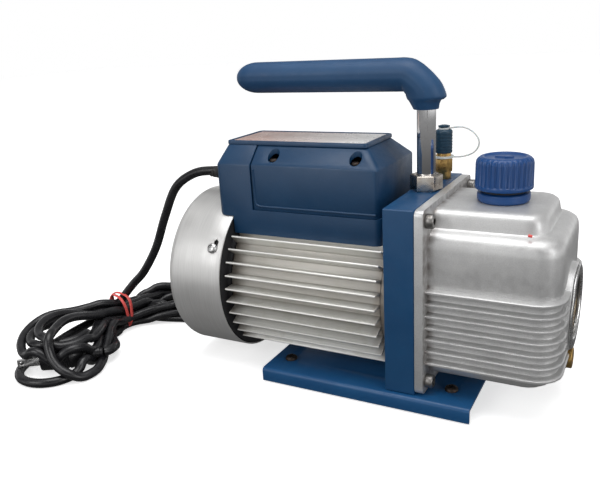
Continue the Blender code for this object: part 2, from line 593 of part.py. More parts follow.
def build_fan_end():
    shaft = (0, 0, AXIS_Z)
    r, w = COVER_RADIUS, COVER_WALL
    round_r = 6.5
    outer = [(COVER_X0, r - round_r)]
    for k in range(1, 5):
        t = math.radians(90.0 * k / 4)
        outer.append((COVER_X0 + round_r - round_r * math.cos(t),
                      r - round_r + round_r * math.sin(t)))
    outer.append((COVER_X1, r))
    cover = lathe("fan_cover", "x", shaft, outer, SHEET_STEEL, 60)
    ri = r - w
    inner = [(COVER_X0 + w, ri - round_r + w)]
    for k in range(1, 4):
        t = math.radians(90.0 * k / 3)
        inner.append((COVER_X0 + w + (round_r - w) * (1 - math.cos(t)),
                      ri - (round_r - w) * (1 - math.sin(t))))
    inner.append((COVER_X1 + 2.0, ri))
    cut(cover, lathe("cover_inside", "x", shaft, inner, SHEET_STEEL, 60))
    for ring_r0, ring_r1, count, phase in ((13.0, 27.0, 8, 0.0), (32.0, 49.0, 16, 0.5)):
        for k in range(count):
            t = 2 * math.pi * (k + phase) / count
            out = Vector((0, math.cos(t), math.sin(t)))
            side = Vector((0, -math.sin(t), math.cos(t)))
            rings = []
            for x in (COVER_X0 - 1.5, COVER_X0 + 3.0):
                c = Vector((x, 0, AXIS_Z))
                corners = ((ring_r0, -1.8), (ring_r0, 1.8), (ring_r1, 2.4), (ring_r1, -2.4))
                rings.append([tuple(c + out * a + side * b) for a, b in corners])
            cut(cover, loft("slot", rings, SHEET_STEEL))
    for i, angle in enumerate(cover_screw_angles()):
        cut(cover, radial_bar(angle, 2.1, 58.0, 64.0))
        t = math.radians(angle)
        out = Vector((0, -math.cos(t), math.sin(t)))
        side = Vector((1, 0, 0))
        up = out.cross(side)
        if i == 0:
            rings = []
            for rr in (58.0, 64.0):
                c = Vector((-98.2, 0, AXIS_Z)) + out * rr
                spine = [(-1.6, -1.2), (1.6, -1.2), (1.9, -5.4), (0.0, -7.0), (-1.9, -5.4)]
                rings.append([tuple(c + side * a + up * b) for a, b in spine])
            cut(cover, loft("keyhole", rings, SHEET_STEEL))
        name = ("cover_screw_front", "cover_screw_back", "cover_screw_low")[i]
        rings = []
        for rr, rad in ((51.0, 1.5), (61.9, 1.5), (61.9, 3.7), (63.4, 3.2), (64.2, 1.6)):
            c = Vector((-100.0, 0, AXIS_Z)) + out * rr
            rings.append([tuple(c + side * (rad * math.cos(2 * math.pi * k / 12))
                                + up * (rad * math.sin(2 * math.pi * k / 12))) for k in range(12)])
        screw = loft(name, rings, ZINC)
        for a, b in ((2.0, 0.42), (0.42, 2.0)):
            rings = []
            for rr in (63.2, 66.0):
                c = Vector((-100.0, 0, AXIS_Z)) + out * rr
                rings.append([tuple(c + side * (sa * a) + up * (sb * b))
                              for sa, sb in ((-1, -1), (1, -1), (1, 1), (-1, 1))])
            cut(screw, loft("cross", rings, ZINC))

    fan = lathe("cooling_fan", "x", shaft, [(-126.0, 10.5), (-110.5, 11.5), (-110.5, 46.0),
                                            (-108.5, 46.0), (-108.4, 9.0)], BLACK_RUBBER, 32)
    for k in range(8):
        t = 2 * math.pi * k / 8
        out = Vector((0, math.cos(t), math.sin(t)))
        side = Vector((0, -math.sin(t), math.cos(t)))
        rings = []
        for rr, x0 in ((9.0, -125.0), (51.5, -129.0)):
            c = Vector((0, 0, AXIS_Z)) + out * rr
            rings.append([tuple(c + side * s + Vector((x, 0, 0)))
                          for x, s in ((x0, -0.9), (-109.2, -0.9), (-109.2, 0.9), (x0, 0.9))])
        fuse(fan, loft("blade", rings, BLACK_RUBBER))
    cut(fan, drill("x", shaft, 5.35, -124.9 - 0.5, -107.0, 20))


# ---- terminal box ----

def box_rings(grow, low_z):
    """Plan rings of the box from its lower edge to under the lid, moved out by grow."""
    rings = []
    hw, d = BOX_HALF_WIDTH + grow, BOX_SLOPE
    x0, x1 = BOX_X0 - grow, BOX_X1 + grow
    for z, inset, corner in ((low_z, 0.0, 4.6), (BOX_SHOULDER_Z - 1.0, 0.0, 4.6),
                             (BOX_SHOULDER_Z + 0.2, 0.5, 4.6), (BOX_LID_Z, d - 0.2, 3.6)):
        ring = []
        a0, a1, b = x0 + min(inset, 0.5) + 0.3 * max(inset - 0.5, 0), x1 - inset, hw - inset
        for cx, cy, start in ((a1 - corner, b - corner, 0), (a0 + corner, b - corner, 90),
                              (a0 + corner, -b + corner, 180), (a1 - corner, -b + corner, 270)):
            for k in range(4):
                t = math.radians(start + 30.0 * k)
                ring.append((cx + corner * math.cos(t), cy + corner * math.sin(t), z))
        rings.append(ring)
    return rings


def build_terminal_box():
    shaft = (0, 0, AXIS_Z)
    body = loft("terminal_box", box_rings(0.0, BOX_SKIRT_Z), PAINT_NAVY)
    cut(body,
        lathe("cover_room", "x", shaft, [(-150.0, COVER_RADIUS + 0.9),
                                         (BOX_STEP_X, COVER_RADIUS + 0.9)], STEEL, 56),
        lathe("saddle", "x", shaft, [(-98.0, 50.6), (-88.9, 50.6), (-88.9, BARREL_RADIUS + 0.6),
                                     (40.0, BARREL_RADIUS + 0.6)], STEEL, 48),
        box("step_room", -130.0, BOX_STEP_X, -60.0, 60.0, 90.0, BOX_STEP_Z, STEEL))
    hollow = []
    for z, inset in ((BOX_SKIRT_Z - 5.0, 0.0), (BOX_SHOULDER_Z - 2.0, 0.0), (BOX_LID_Z - 3.4, 9.0)):
        w = BOX_WALL
        a0, a1, b = BOX_STEP_X + w, BOX_X1 - w - inset, BOX_HALF_WIDTH - w - inset
        hollow.append([(a0, -b, z), (a1, -b, z), (a1, b, z), (a0, b, z)])
    cut(body, loft("hollow", hollow, STEEL))
    # the room at the cord end, over the fan cover
    cut(body, box("end_room", BOX_X0 + 3.0, BOX_STEP_X + 5.0, -31.0, 31.0, 130.5, 158.0, STEEL))
    # the lid panel is a separate moulding let into the box
    panel = box("panel_room", BOX_GROOVE_X, BOX_X1 + 5.0, -50.0, 50.0, BOX_PANEL_Z, 175.0, STEEL)
    cut(body, panel)
    cut(body, drill("x", (0, GLAND_Y, GLAND_Z), 5.3, BOX_X0 - 4.0, BOX_X0 + 6.0, 24),
        box("switch_hole", BOX_X0 - 4.0, BOX_X0 + 6.0, 6.0, 27.0, 134.6, 148.4, STEEL))

    lid = loft("terminal_box_lid", box_rings(-0.9, BOX_PANEL_Z + GAP), PAINT_NAVY)
    cut(lid, box("left_off", BOX_X0 - 5.0, BOX_GROOVE_X + 0.9, -60.0, 60.0, 100.0, 180.0, STEEL))
    hollow = []
    for z, inset in ((BOX_PANEL_Z - 5.0, 0.0), (BOX_SHOULDER_Z - 2.0, 0.0), (BOX_LID_Z - 3.4, 9.0)):
        w = BOX_WALL + 0.9
        a0, a1, b = -160.0, BOX_X1 - w - inset, BOX_HALF_WIDTH - w - inset
        hollow.append([(a0, -b, z), (a1, -b, z), (a1, b, z), (a0, b, z)])
    cut(lid, loft("hollow", hollow, STEEL))

    places = {"lid_screw_left": (-58.7, -1), "lid_screw_right": (2.5, -1)}
    for name, (sx, side) in places.items():
        cut(lid, drill("z", (sx, side * 29.0, 0), 4.3, 155.4, 175.0, 20),
            drill("z", (sx, -side * 29.0, 0), 4.3, 155.4, 175.0, 16),
            drill("z", (sx, side * 29.0, 0), 1.9, 140.0, 160.0, 10))
        screw = lathe(name, "z", (sx, side * 29.0, 0),
                      [(143.0, 1.5), (155.7, 1.5), (155.7, 3.4), (157.0, 3.2), (157.8, 2.0)], ZINC, 14)
        cut(screw, box("cross", sx - 2.0, sx + 2.0, side * 29.0 - 0.4, side * 29.0 + 0.4,
                       157.1, 160.0, ZINC),
            box("cross", sx - 0.4, sx + 0.4, side * 29.0 - 2.0, side * 29.0 + 2.0,
                157.1, 160.0, ZINC))

    rings = []
    for z, inset in ((BOX_LID_Z + GAP, 0.8), (BOX_LID_Z + 0.9, 0.0), (BOX_LID_Z + 2.2, 0.1),
                     (BOX_LID_Z + 2.9, 0.9)):
        ring = []
        corner = 4.2 - inset
        a0, a1, b = -100.1 + inset, 8.4 - inset, 24.0 - inset
        for cx, cy, start in ((a1 - corner, b - corner, 0), (a0 + corner, b - corner, 90),
                              (a0 + corner, -b + corner, 180), (a1 - corner, -b + corner, 270)):
            for k in range(4):
                t = math.radians(start + 30.0 * k)
                ring.append((cx + corner * math.cos(t), cy + corner * math.sin(t), z))
        rings.append(ring)
    loft("label_plate", rings, PAINT_NAVY)

    turned_ring("cord_gland", "x", (0, GLAND_Y, GLAND_Z),
                [(BOX_X0 + 4.0, CORD_RADIUS + 0.15), (BOX_X0 + 4.0, 4.9), (BOX_X0 - 0.3, 4.9),
                 (BOX_X0 - 0.3, 6.6), (BOX_X0 - 2.2, 6.4), (BOX_X0 - 8.5, 4.6),
                 (BOX_X0 - 8.5, CORD_RADIUS + 0.15)], BLACK_RUBBER, 16)

    bezel = box("switch_bezel", BOX_X0 - 1.8, BOX_X0 - 0.3, 4.4, 28.6, 133.2, 149.8, BLACK_RUBBER)
    fuse(bezel, box("tail", BOX_X0 - 1.0, BOX_X0 + 5.6, 6.4, 26.6, 135.0, 148.0, BLACK_RUBBER))
    cut(bezel, box("well", BOX_X0 - 4.0, BOX_X0 + 4.4, 7.4, 25.6, 136.0, 147.0, BLACK_RUBBER))
    # the rocker at rest is tilted; two shallow faces meet in a line at its middle
    face = [(-8.9, -7.6), (-9.3, -6.9), (-8.2, 0.0), (-9.3, 6.9), (-8.9, 7.6), (-5.5, 7.6),
            (-3.9, 0.0), (-5.5, -7.6)]
    tilt = Matrix.Rotation(math.radians(-ROCKER_TILT), 2)
    section = [tilt @ Vector(p) + Vector((BOX_X0 + ROCKER_DEPTH, ROCKER_Y)) for p in face]
    rings = [[(p.x, p.y, z) for p in section] for z in (136.5, 146.5)]
    loft("rocker_switch", rings, BLACK_RUBBER)

    lathe("run_capacitor", "x", (0, 10.0, 128.0),
          [(-70.0, 12.0), (-69.0, 13.0), (-14.0, 13.0), (-13.0, 12.0)], STEEL, 24)


# ---- handle ----

def build_handle():
    bend = 12.0
    path = [(ROD_X, 0, 121.0), (ROD_X, 0, GRIP_Z - bend)]
    for k in range(1, 7):
        t = math.radians(90.0 * k / 6)
        path.append((ROD_X - bend + bend * math.cos(t), 0, GRIP_Z - bend + bend * math.sin(t)))
    path.append((-78.0, 0, GRIP_Z))
    loft("handle_rod", sweep(path, ROD_RADIUS, 16), CHROME)

    nut = lathe("handle_nut", "z", (ROD_X, 0, 0),
                [(PLATE_TOP + GAP, 10.3), (PLATE_TOP + 1.0, 10.9), (PLATE_TOP + 10.0, 10.9),
                 (PLATE_TOP + 10.8, 9.6)], NICKEL, 6, math.radians(14.0))
    cut(nut, drill("z", (ROD_X, 0, 0), ROD_RADIUS + GAP, 130.0, 150.0, 20))

    rings = []
    seg = 18

    def ring(cx, cz, ux, uz, in_plane, across):
        """Oval ring; (ux, uz) is the in-plane direction across the grip."""
        points = []
        for k in range(seg):
            t = 2 * math.pi * k / seg
            points.append((cx + ux * in_plane * math.cos(t), across * math.sin(t),
                           cz + uz * in_plane * math.cos(t)))
        return points

    for t in (0.04, 0.13, 0.28, 0.47, 0.7, 1.0):
        r = GRIP_RADIUS * math.sqrt(max(1 - (1 - t) ** 2, 0.0))
        rings.append(ring(GRIP_TIP_X + 17.0 * t - 0.6, GRIP_Z, 0, 1, r, r))
    for x in (-60.0, -30.0, 0.0, 20.0):
        rings.append(ring(x, GRIP_Z, 0, 1, GRIP_RADIUS, GRIP_RADIUS))
    pivot = (26.0, 197.6)
    for degrees, inner, outer, across in ((0, 1.3, 22.7, 10.7), (15, 0.9, 22.5, 10.8),
                                          (30, 0.6, 21.9, 10.9), (45, 0.5, 21.8, 11.0),
                                          (60, 0.5, 22.7, 11.0), (75, 0.5, 24.6, 11.0),
                                          (90, 0.7, 26.7, 10.9)):
        t = math.radians(degrees)
        ux, uz = math.sin(t), math.cos(t)
        mid = (inner + outer) / 2
        rings.append(ring(pivot[0] + ux * mid, pivot[1] + uz * mid, ux, uz, (outer - inner) / 2,
                          across))
    for z, x0, x1, across in ((195.2, 27.4, 52.9, 10.7), (194.2, 28.0, 51.6, 10.3),
                              (193.6, 28.4, 49.8, 9.9), (191.0, 30.0, 48.6, 9.2),
                              (189.4, 31.2, 48.3, 8.6), (FERRULE_Z, 31.9, 48.1, 8.1)):
        rings.append(ring((x0 + x1) / 2, z, 1, 0, (x1 - x0) / 2, across))
    grip = loft("handle_grip", rings, GRIP_RUBBER)
    bore = [(ROD_X, 0, 180.0), (ROD_X, 0, GRIP_Z - bend)]
    bore += path[2:-1] + [(-79.0, 0, GRIP_Z)]
    cut(grip, loft("bore", sweep(bore, ROD_RADIUS + GAP + 0.05, 16), STEEL))


# ---- intake port ----

def build_intake():
    spot = (INTAKE_X, INTAKE_Y, 0)
    fitting = lathe("intake_fitting", "z", spot,
                    [(124.0, 4.1), (PLATE_TOP + GAP, 4.1), (PLATE_TOP + GAP, 5.2), (140.4, 5.2),
                     (140.4, 5.0), (155.0, 5.0), (155.0, 4.3), (163.0, 4.3), (163.6, 3.8)],
                    BRASS, 18)
    fuse(fitting, hex_bar("z", (INTAKE_X, INTAKE_Y), 6.1, 140.2, 149.0, math.radians(8)))
    cut(fitting, drill("z", spot, 2.6, 120.0, 166.0, 16))
    turned_ring("intake_cap_seal", "z", spot,
                [(163.9, 1.4), (163.9, 4.2), (164.9, 4.2), (164.9, 1.4)], BLACK_RUBBER, 16)
    profile = ((153.2, 5.9), (166.6, 5.9), (167.9, 4.8), (168.2, 1.7), (171.2, 1.7), (171.2, 3.1),
               (172.6, 2.6))
    cap = lathe("intake_cap", "z", spot, profile, CAP_BLUE, 20)
    cut(cap, drill("z", spot, 5.15, 150.0, 165.2, 20))

    loop = strap_path()
    rings = []
    for i, p in enumerate(loop):
        before, after = Vector(loop[max(i - 1, 0)]), Vector(loop[min(i + 1, len(loop) - 1)])
        along = (after - before).normalized()
        side = Vector((0, 1, 0))
        up = along.cross(side).normalized()
        ring = []
        for k in range(6):
            t = 2 * math.pi * (k + 0.5) / 6
            ring.append(tuple(Vector(p) + side * (1.05 * math.cos(t)) + up * (0.62 * math.sin(t))))
        rings.append(ring)
    strap = loft("intake_cap_strap", rings, WHITE_STRAP)
    eye = [(169.75, 2.15), (169.75, 3.9), (170.85, 3.9), (170.85, 2.15)]
    collar = [(149.9, 5.35), (149.9, 7.0), (151.3, 7.0), (151.3, 5.35)]
    fuse(strap, turned_ring("eye", "z", spot, eye, WHITE_STRAP, 16),
         turned_ring("collar", "z", spot, collar, WHITE_STRAP, 20))


def strap_path():
    """Centre line of the strap loop between the cap's knob and the fitting."""
    y = INTAKE_Y
    marks = [(INTAKE_X + 2.9, 170.3), (INTAKE_X + 7.0, 171.0), (INTAKE_X + 13.3, 171.3),
             (61.0, 168.7), (65.4, 163.6), (65.6, 158.4), (62.0, 153.8), (55.5, 151.2),
             (INTAKE_X + 8.6, 150.6), (INTAKE_X + 6.1, 150.6)]
    points = []
    for i in range(len(marks) - 1):
        p0 = marks[max(i - 1, 0)]
        p1, p2 = marks[i], marks[i + 1]
        p3 = marks[min(i + 2, len(marks) - 1)]
        for k in range(2):
            t = k / 2
            point = []
            for a in range(2):
                point.append(0.5 * (2 * p1[a] + (p2[a] - p0[a]) * t
                                    + (2 * p0[a] - 5 * p1[a] + 4 * p2[a] - p3[a]) * t ** 2
                                    + (3 * p1[a] - p0[a] - 3 * p2[a] + p3[a]) * t ** 3))
            points.append((point[0], y, point[1]))
    points.append((marks[-1][0], y, marks[-1][1]))
    return points


# ---- cord ----

CORD_MARKS = [(BOX_X0 - 2.0, GLAND_Y, GLAND_Z), (BOX_X0 - 12.0, GLAND_Y, GLAND_Z + 0.2),
              (-124.0, -10.6, 142.4), (-141.5, -11.2, 139.6), (-160.5, -11.8, 127.6),
              (-174.5, -12.4, 103.0), (-187.5, -12.8, 75.6), (-203.5, -13.4, 52.6),
              (-216.5, -14.2, 40.0)]


def smooth(marks, steps):
    points = []
    for i in range(len(marks) - 1):
        p0, p1 = Vector(marks[max(i - 1, 0)]), Vector(marks[i])
        p2, p3 = Vector(marks[i + 1]), Vector(marks[min(i + 2, len(marks) - 1)])
        for k in range(steps):
            t = k / steps
            points.append(0.5 * (2 * p1 + (p2 - p0) * t + (2 * p0 - 5 * p1 + 4 * p2 - p3) * t ** 2
                                 + (3 * p1 - p0 - 3 * p2 + p3) * t ** 3))
    points.append(Vector(marks[-1]))
    return points


def build_cord():
    points = smooth(CORD_MARKS, 5)
    curve = bpy.data.curves.new("power_cord", "CURVE")
    curve.dimensions = "3D"
    curve.bevel_depth = CORD_RADIUS * MM
    curve.bevel_resolution = 2
    curve.use_fill_caps = True
    curve.render_resolution_u = 0
    spline = curve.splines.new("POLY")
    spline.points.add(len(points) - 1)
    for point, p in zip(spline.points, points):
        point.co = (p.x * MM, p.y * MM, p.z * MM, 1.0)
    cord = bpy.data.objects.new("power_cord", curve)
    bpy.context.collection.objects.link(cord)
    curve.materials.append(material(*CORD_PVC))

    # the hank: a folded bundle, narrow at the band and wide at its two loop ends
    # each row: place of the middle, half width, height and how far it clears the floor
    spine = [((-203.0, -133.0), 13.0, 16.0, 0.6), ((-208.0, -125.0), 27.0, 22.0, 0.6),
             ((-216.0, -110.0), 34.0, 30.0, 0.6), ((-226.0, -90.0), 38.5, 31.0, 0.6),
             ((-233.0, -70.0), 36.0, 31.0, 0.6), ((-237.0, -52.0), 28.0, 30.0, 0.6),
             ((-236.0, -40.0), 19.0, 28.5, 0.8),
             ((-232.6, -29.5), 12.6, 26.5, 2.2), ((-230.0, -20.5), 11.8, 25.6, 2.6),
             ((-227.0, -11.5), 12.2, 26.0, 2.2), ((-220.5, 0.0), 16.0, 26.0, 0.8),
             ((-210.5, 16.0), 23.0, 25.0, 0.6), ((-200.0, 34.0), 28.0, 23.0, 0.6),
             ((-190.0, 50.0), 27.0, 21.0, 0.6), ((-183.0, 62.0), 20.0, 18.0, 0.6),
             ((-179.5, 68.0), 9.0, 13.0, 0.6)]
    rings = []
    for i, ((x, y), half, height, lift) in enumerate(spine):
        before = Vector(spine[max(i - 1, 0)][0] + (0,))
        after = Vector(spine[min(i + 1, len(spine) - 1)][0] + (0,))
        along = (after - before).normalized()
        side = Vector((-along.y, along.x, 0))
        ring = []
        for k in range(14):
            a, b = squared_oval(2 * math.pi * (k + 0.5) / 14)
            ring.append((x + side.x * a * half, y + side.y * a * half,
                         lift + height / 2 * (1 + b)))
        rings.append(ring)
    hank = loft("cord_hank", rings, CORD_PVC)
    cut(hank, plug_block("plug_room", -30.0, 21.0, 15.6, -5.0, 40.0))

    along = Vector((5.2, 18.5, 0)).normalized()
    side = Vector((-along.y, along.x, 0))
    up = Vector((0, 0, 1))
    mid = Vector((-230.0, -20.5, 15.4))
    rings = []
    for k in range(24):
        t = 2 * math.pi * (k + 0.5) / 24
        a, b = squared_oval(t)
        centre = mid + side * (a * 13.9) + up * (b * 14.6)
        centre.z = max(centre.z, 1.3)
        out = (side * math.cos(t) + up * math.sin(t)).normalized()
        rings.append([tuple(centre + along * p + out * q)
                      for p, q in ((-1.1, -0.6), (1.1, -0.6), (1.1, 0.6), (-1.1, 0.6))])
    loft("cord_band", rings, RED_RUBBER, close=True)

    # the plug lies in the hank's free end, with its blades towards the front left corner
    plug = plug_block("plug_body", -12.0, 20.0, 12.2, PLUG_Z - 8.2, PLUG_Z + 8.2)
    round_edges(plug, 1.6)
    for name, offset in (("plug_blade_front", -6.35), ("plug_blade_back", 6.35)):
        box_along(name, -12.3 - 17.0, -12.3, offset - 0.75, offset + 0.75,
                  PLUG_Z - 3.2, PLUG_Z + 3.2, NICKEL)


PLUG_SPOT = Vector((-221.2, -101.6, 0))
PLUG_Z = 10.6
PLUG_ALONG = Vector((0.83, 0.56, 0)).normalized()


def squared_oval(t):
    """A point on a unit oval with full corners."""
    c, s = math.cos(t), math.sin(t)
    return math.copysign(abs(c) ** 0.7, c), math.copysign(abs(s) ** 0.7, s)


def box_along(name, a0, a1, b0, b1, z0, z1, finish):
    """Block laid along the plug: a runs back from the blades, b across it."""
    across = Vector((-PLUG_ALONG.y, PLUG_ALONG.x, 0))
    verts = []
    for a in (a0, a1):
        for b in (b0, b1):
            for z in (z0, z1):
                verts.append(tuple(PLUG_SPOT + PLUG_ALONG * a + across * b + Vector((0, 0, z))))
    faces = [(0, 1, 3, 2), (4, 6, 7, 5), (0, 4, 5, 1), (2, 3, 7, 6), (0, 2, 6, 4), (1, 5, 7, 3)]
    return make(name, verts, faces, finish)


def plug_block(name, a0, a1, half, z0, z1):
    return box_along(name, a0, a1, -half, half, z0, z1, BLACK_RUBBER)


def main():
    clear_scene()
    build_base()
    build_pump_body()
    build_casing_screws()
    build_pump_internals()
    build_casing()
    build_drain_plug()
    build_oil_cap()
    build_motor()
    build_fan_end()
    build_terminal_box()
    build_handle()
    build_intake()
    build_cord()


main()
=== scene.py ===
"""Looks of the rotary vane vacuum pump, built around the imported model.

Lengths are in millimetres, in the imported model's frame, and become metres in solid() and tube().
"""

import json
import math

import bmesh
import bpy
import numpy
from mathutils import Matrix, Vector


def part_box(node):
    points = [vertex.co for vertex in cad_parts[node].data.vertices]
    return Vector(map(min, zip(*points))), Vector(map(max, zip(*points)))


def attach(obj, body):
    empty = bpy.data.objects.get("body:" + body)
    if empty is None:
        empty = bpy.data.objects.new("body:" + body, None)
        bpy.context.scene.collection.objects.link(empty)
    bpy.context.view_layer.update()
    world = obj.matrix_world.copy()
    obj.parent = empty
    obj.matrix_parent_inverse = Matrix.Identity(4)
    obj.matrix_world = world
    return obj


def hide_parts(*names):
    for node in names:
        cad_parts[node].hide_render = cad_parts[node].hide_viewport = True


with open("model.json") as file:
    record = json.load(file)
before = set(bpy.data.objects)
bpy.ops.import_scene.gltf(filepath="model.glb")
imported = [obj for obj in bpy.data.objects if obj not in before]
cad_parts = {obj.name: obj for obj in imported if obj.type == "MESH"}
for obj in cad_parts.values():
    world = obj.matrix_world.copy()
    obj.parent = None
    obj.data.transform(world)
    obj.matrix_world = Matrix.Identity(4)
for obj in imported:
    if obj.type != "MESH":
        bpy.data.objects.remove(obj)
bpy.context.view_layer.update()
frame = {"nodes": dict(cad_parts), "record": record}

MM = 0.001
AXIS_Z = 65.2                    # height of the motor shaft


def span(node):
    """A CAD node's lowest and highest corners, in millimetres."""
    low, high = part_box(node)
    return low / MM, high / MM


def link(obj):
    bpy.context.scene.collection.objects.link(obj)


# ---- camera, light and floor ----

def make_camera():
    """The view: from the front right and a little above; the angles are in radians."""
    yaw, pitch, roll = 0.503, 0.315, -0.058
    forward = Vector((-math.sin(yaw) * math.cos(pitch), math.cos(yaw) * math.cos(pitch),
                      -math.sin(pitch)))
    right = Vector((math.cos(yaw), math.sin(yaw), 0.0))
    up = right.cross(forward)
    rolled_right = math.cos(roll) * right + math.sin(roll) * up
    rolled_up = -math.sin(roll) * right + math.cos(roll) * up
    data = bpy.data.cameras.new("camera")
    data.sensor_width = 36.0
    data.lens = 40.57
    data.shift_x = -0.0012
    data.shift_y = -0.0004
    data.clip_start = 0.01
    data.clip_end = 60.0
    camera = bpy.data.objects.new("camera", data)
    turn = Matrix((rolled_right, rolled_up, -forward)).transposed().to_4x4()
    camera.matrix_world = Matrix.Translation((0.17683, -0.42640, 0.24099)) @ turn
    link(camera)
    bpy.context.scene.camera = camera


def area_light(name, place, target, size, power):
    data = bpy.data.lights.new(name, "AREA")
    data.shape = "RECTANGLE"
    data.size, data.size_y = size
    data.energy = power
    light = bpy.data.objects.new(name, data)
    light.location = place
    light.rotation_euler = (Vector(target) - Vector(place)).to_track_quat("-Z", "Y").to_euler()
    link(light)


def make_world():
    """Surroundings graded by height, with a bright band round the horizon."""
    world = bpy.data.worlds.new("studio")
    world.use_nodes = True
    tree = world.node_tree
    sky = tree.nodes["Background"]
    coords = tree.nodes.new("ShaderNodeTexCoord")
    split = tree.nodes.new("ShaderNodeSeparateXYZ")
    ramp = tree.nodes.new("ShaderNodeValToRGB")
    height = tree.nodes.new("ShaderNodeMath")
    height.operation = "MULTIPLY_ADD"
    height.inputs[1].default_value = height.inputs[2].default_value = 0.5
    tree.links.new(coords.outputs["Generated"], split.inputs[0])
    tree.links.new(split.outputs["Z"], height.inputs[0])
    tree.links.new(height.outputs[0], ramp.inputs[0])
    stops = ramp.color_ramp.elements
    stops[0].color = (0.10, 0.10, 0.10, 1.0)
    stops[1].color = (0.62, 0.62, 0.62, 1.0)
    for place, grey in ((0.40, 0.10), (0.440, 0.30), (0.462, 1.0), (0.565, 1.0), (0.61, 0.36),
                        (0.80, 0.24)):
        stop = stops.new(place)
        stop.color = (grey, grey, grey, 1.0)
    tree.links.new(ramp.outputs[0], sky.inputs["Color"])
    sky.inputs["Strength"].default_value = 1.0
    bpy.context.scene.world = world


def make_studio():
    bpy.context.scene.view_settings.view_transform = "Standard"
    make_world()
    area_light("top_softbox", (0.05, -0.15, 1.25), (0.0, 0.0, 0.08), (1.1, 0.8), 8.5)
    area_light("front_softbox", (-0.55, -1.15, 0.75), (0.0, 0.0, 0.09), (0.8, 0.6), 4.4)
    area_light("right_strip", (1.1, -0.35, 0.55), (0.05, 0.0, 0.09), (0.35, 0.9), 2.6)

    floor = solid("floor", *grid_plane(9000.0, 24))
    floor.data.materials.append(floor_material())
    # the pale floor lights the object only a little, so its undersides stay dark
    floor.visible_diffuse = floor.visible_glossy = False
    # dark flags beside the set, seen only in the bright metals
    for name, x, y, turn in (("flag_left", -1500.0, -500.0, math.radians(110.0)),
                             ("flag_right", 900.0, -1500.0, math.radians(152.0))):
        along = Vector((math.cos(turn), math.sin(turn), 0.0))
        corners = [Vector((x, y, z)) + along * side for side, z in
                   ((-260.0, 0.0), (260.0, 0.0), (260.0, 1500.0), (-260.0, 1500.0))]
        flag = solid(name, corners, [(0, 1, 2, 3)])
        flag.data.materials.append(matte("flag_cloth", (0.02, 0.02, 0.02), 0.9))
        flag.visible_camera = flag.visible_diffuse = flag.visible_shadow = False


# ---- material building ----

def fill(node, **values):
    """Sets a node's input sockets; an underscore stands for a space."""
    for socket, value in values.items():
        node.inputs[socket.replace("_", " ")].default_value = value
    return node


class Look:
    """One procedural material. Coordinates are the row frame's, in metres."""

    def __init__(self, name, colour, metallic=0.0, roughness=0.5, **sockets):
        self.mat = bpy.data.materials.new(name)
        self.mat.use_nodes = True
        self.mat.diffuse_color = (*colour, 1.0)
        self.link = self.mat.node_tree.links.new
        self.coords = self.node("TexCoord").outputs["Object"]
        self.bsdf = fill(self.mat.node_tree.nodes["Principled BSDF"], Base_Color=(*colour, 1.0),
                         Metallic=metallic, Roughness=roughness, **sockets)

    def node(self, kind, **values):
        return fill(self.mat.node_tree.nodes.new("ShaderNode" + kind), **values)

    def stretched(self, x, y, z):
        node = self.node("Mapping", Scale=(x, y, z))
        self.link(self.coords, node.inputs["Vector"])
        return node.outputs[0]

    def noise(self, scale, detail=2.0, rough=0.5, vector=None):
        node = self.node("TexNoise", Scale=scale, Detail=detail, Roughness=rough)
        self.link(vector or self.coords, node.inputs["Vector"])
        return node.outputs["Fac"]

    def axis(self, letter):
        node = self.node("SeparateXYZ")
        self.link(self.coords, node.inputs[0])
        return node.outputs[letter.upper()]

    def math(self, operation, a, b=0.0):
        node = self.node("Math")
        node.operation = operation
        for socket, value in zip(node.inputs, (a, b)):
            if isinstance(value, (int, float)):
                socket.default_value = value
            else:
                self.link(value, socket)
        return node.outputs[0]

    def shaft_radius(self):
        """Distance from the motor shaft's axis, in metres."""
        y = self.axis("y")
        z = self.math("SUBTRACT", self.axis("z"), AXIS_Z * MM)
        return self.math("SQRT", self.math("ADD", self.math("MULTIPLY", y, y),
                                           self.math("MULTIPLY", z, z)))

    def ranged(self, value, low, high, at_low=0.0, at_high=1.0):
        node = self.node("MapRange", From_Min=low, From_Max=high, To_Min=at_low, To_Max=at_high)
        self.link(value, node.inputs["Value"])
        return node.outputs[0]

    def mix(self, factor, a, b):
        node = self.node("Mix")
        node.data_type = "RGBA"
        self.link(factor, node.inputs[0])
        for socket, value in ((node.inputs[6], a), (node.inputs[7], b)):
            if isinstance(value, tuple):
                socket.default_value = (*value, 1.0)
            else:
                self.link(value, socket)
        return node.outputs[2]

    def colour(self, socket):
        self.link(socket, self.bsdf.inputs["Base Color"])

    def rough(self, socket):
        self.link(socket, self.bsdf.inputs["Roughness"])

    def worn(self, scale, detail, low, high):
        """Roughness that wanders between low and high."""
        self.rough(self.ranged(self.noise(scale, detail), 0.3, 0.7, low, high))

    def toned(self, value, low, high, a, b):
        """Colour a where the value is under low, colour b where it is over high."""
        self.colour(self.mix(self.ranged(value, low, high), a, b))

    def bump(self, *layers):
        """Each layer is (height, depth in millimetres); height is a socket or a noise's values."""
        normal = None
        for height, depth in layers:
            if isinstance(height, tuple):
                height = self.noise(*height)
            node = self.node("Bump", Strength=1.0, Distance=depth * MM)
            self.link(height, node.inputs["Height"])
            if normal is not None:
                self.link(normal, node.inputs["Normal"])
            normal = node.outputs[0]
        self.link(normal, self.bsdf.inputs["Normal"])


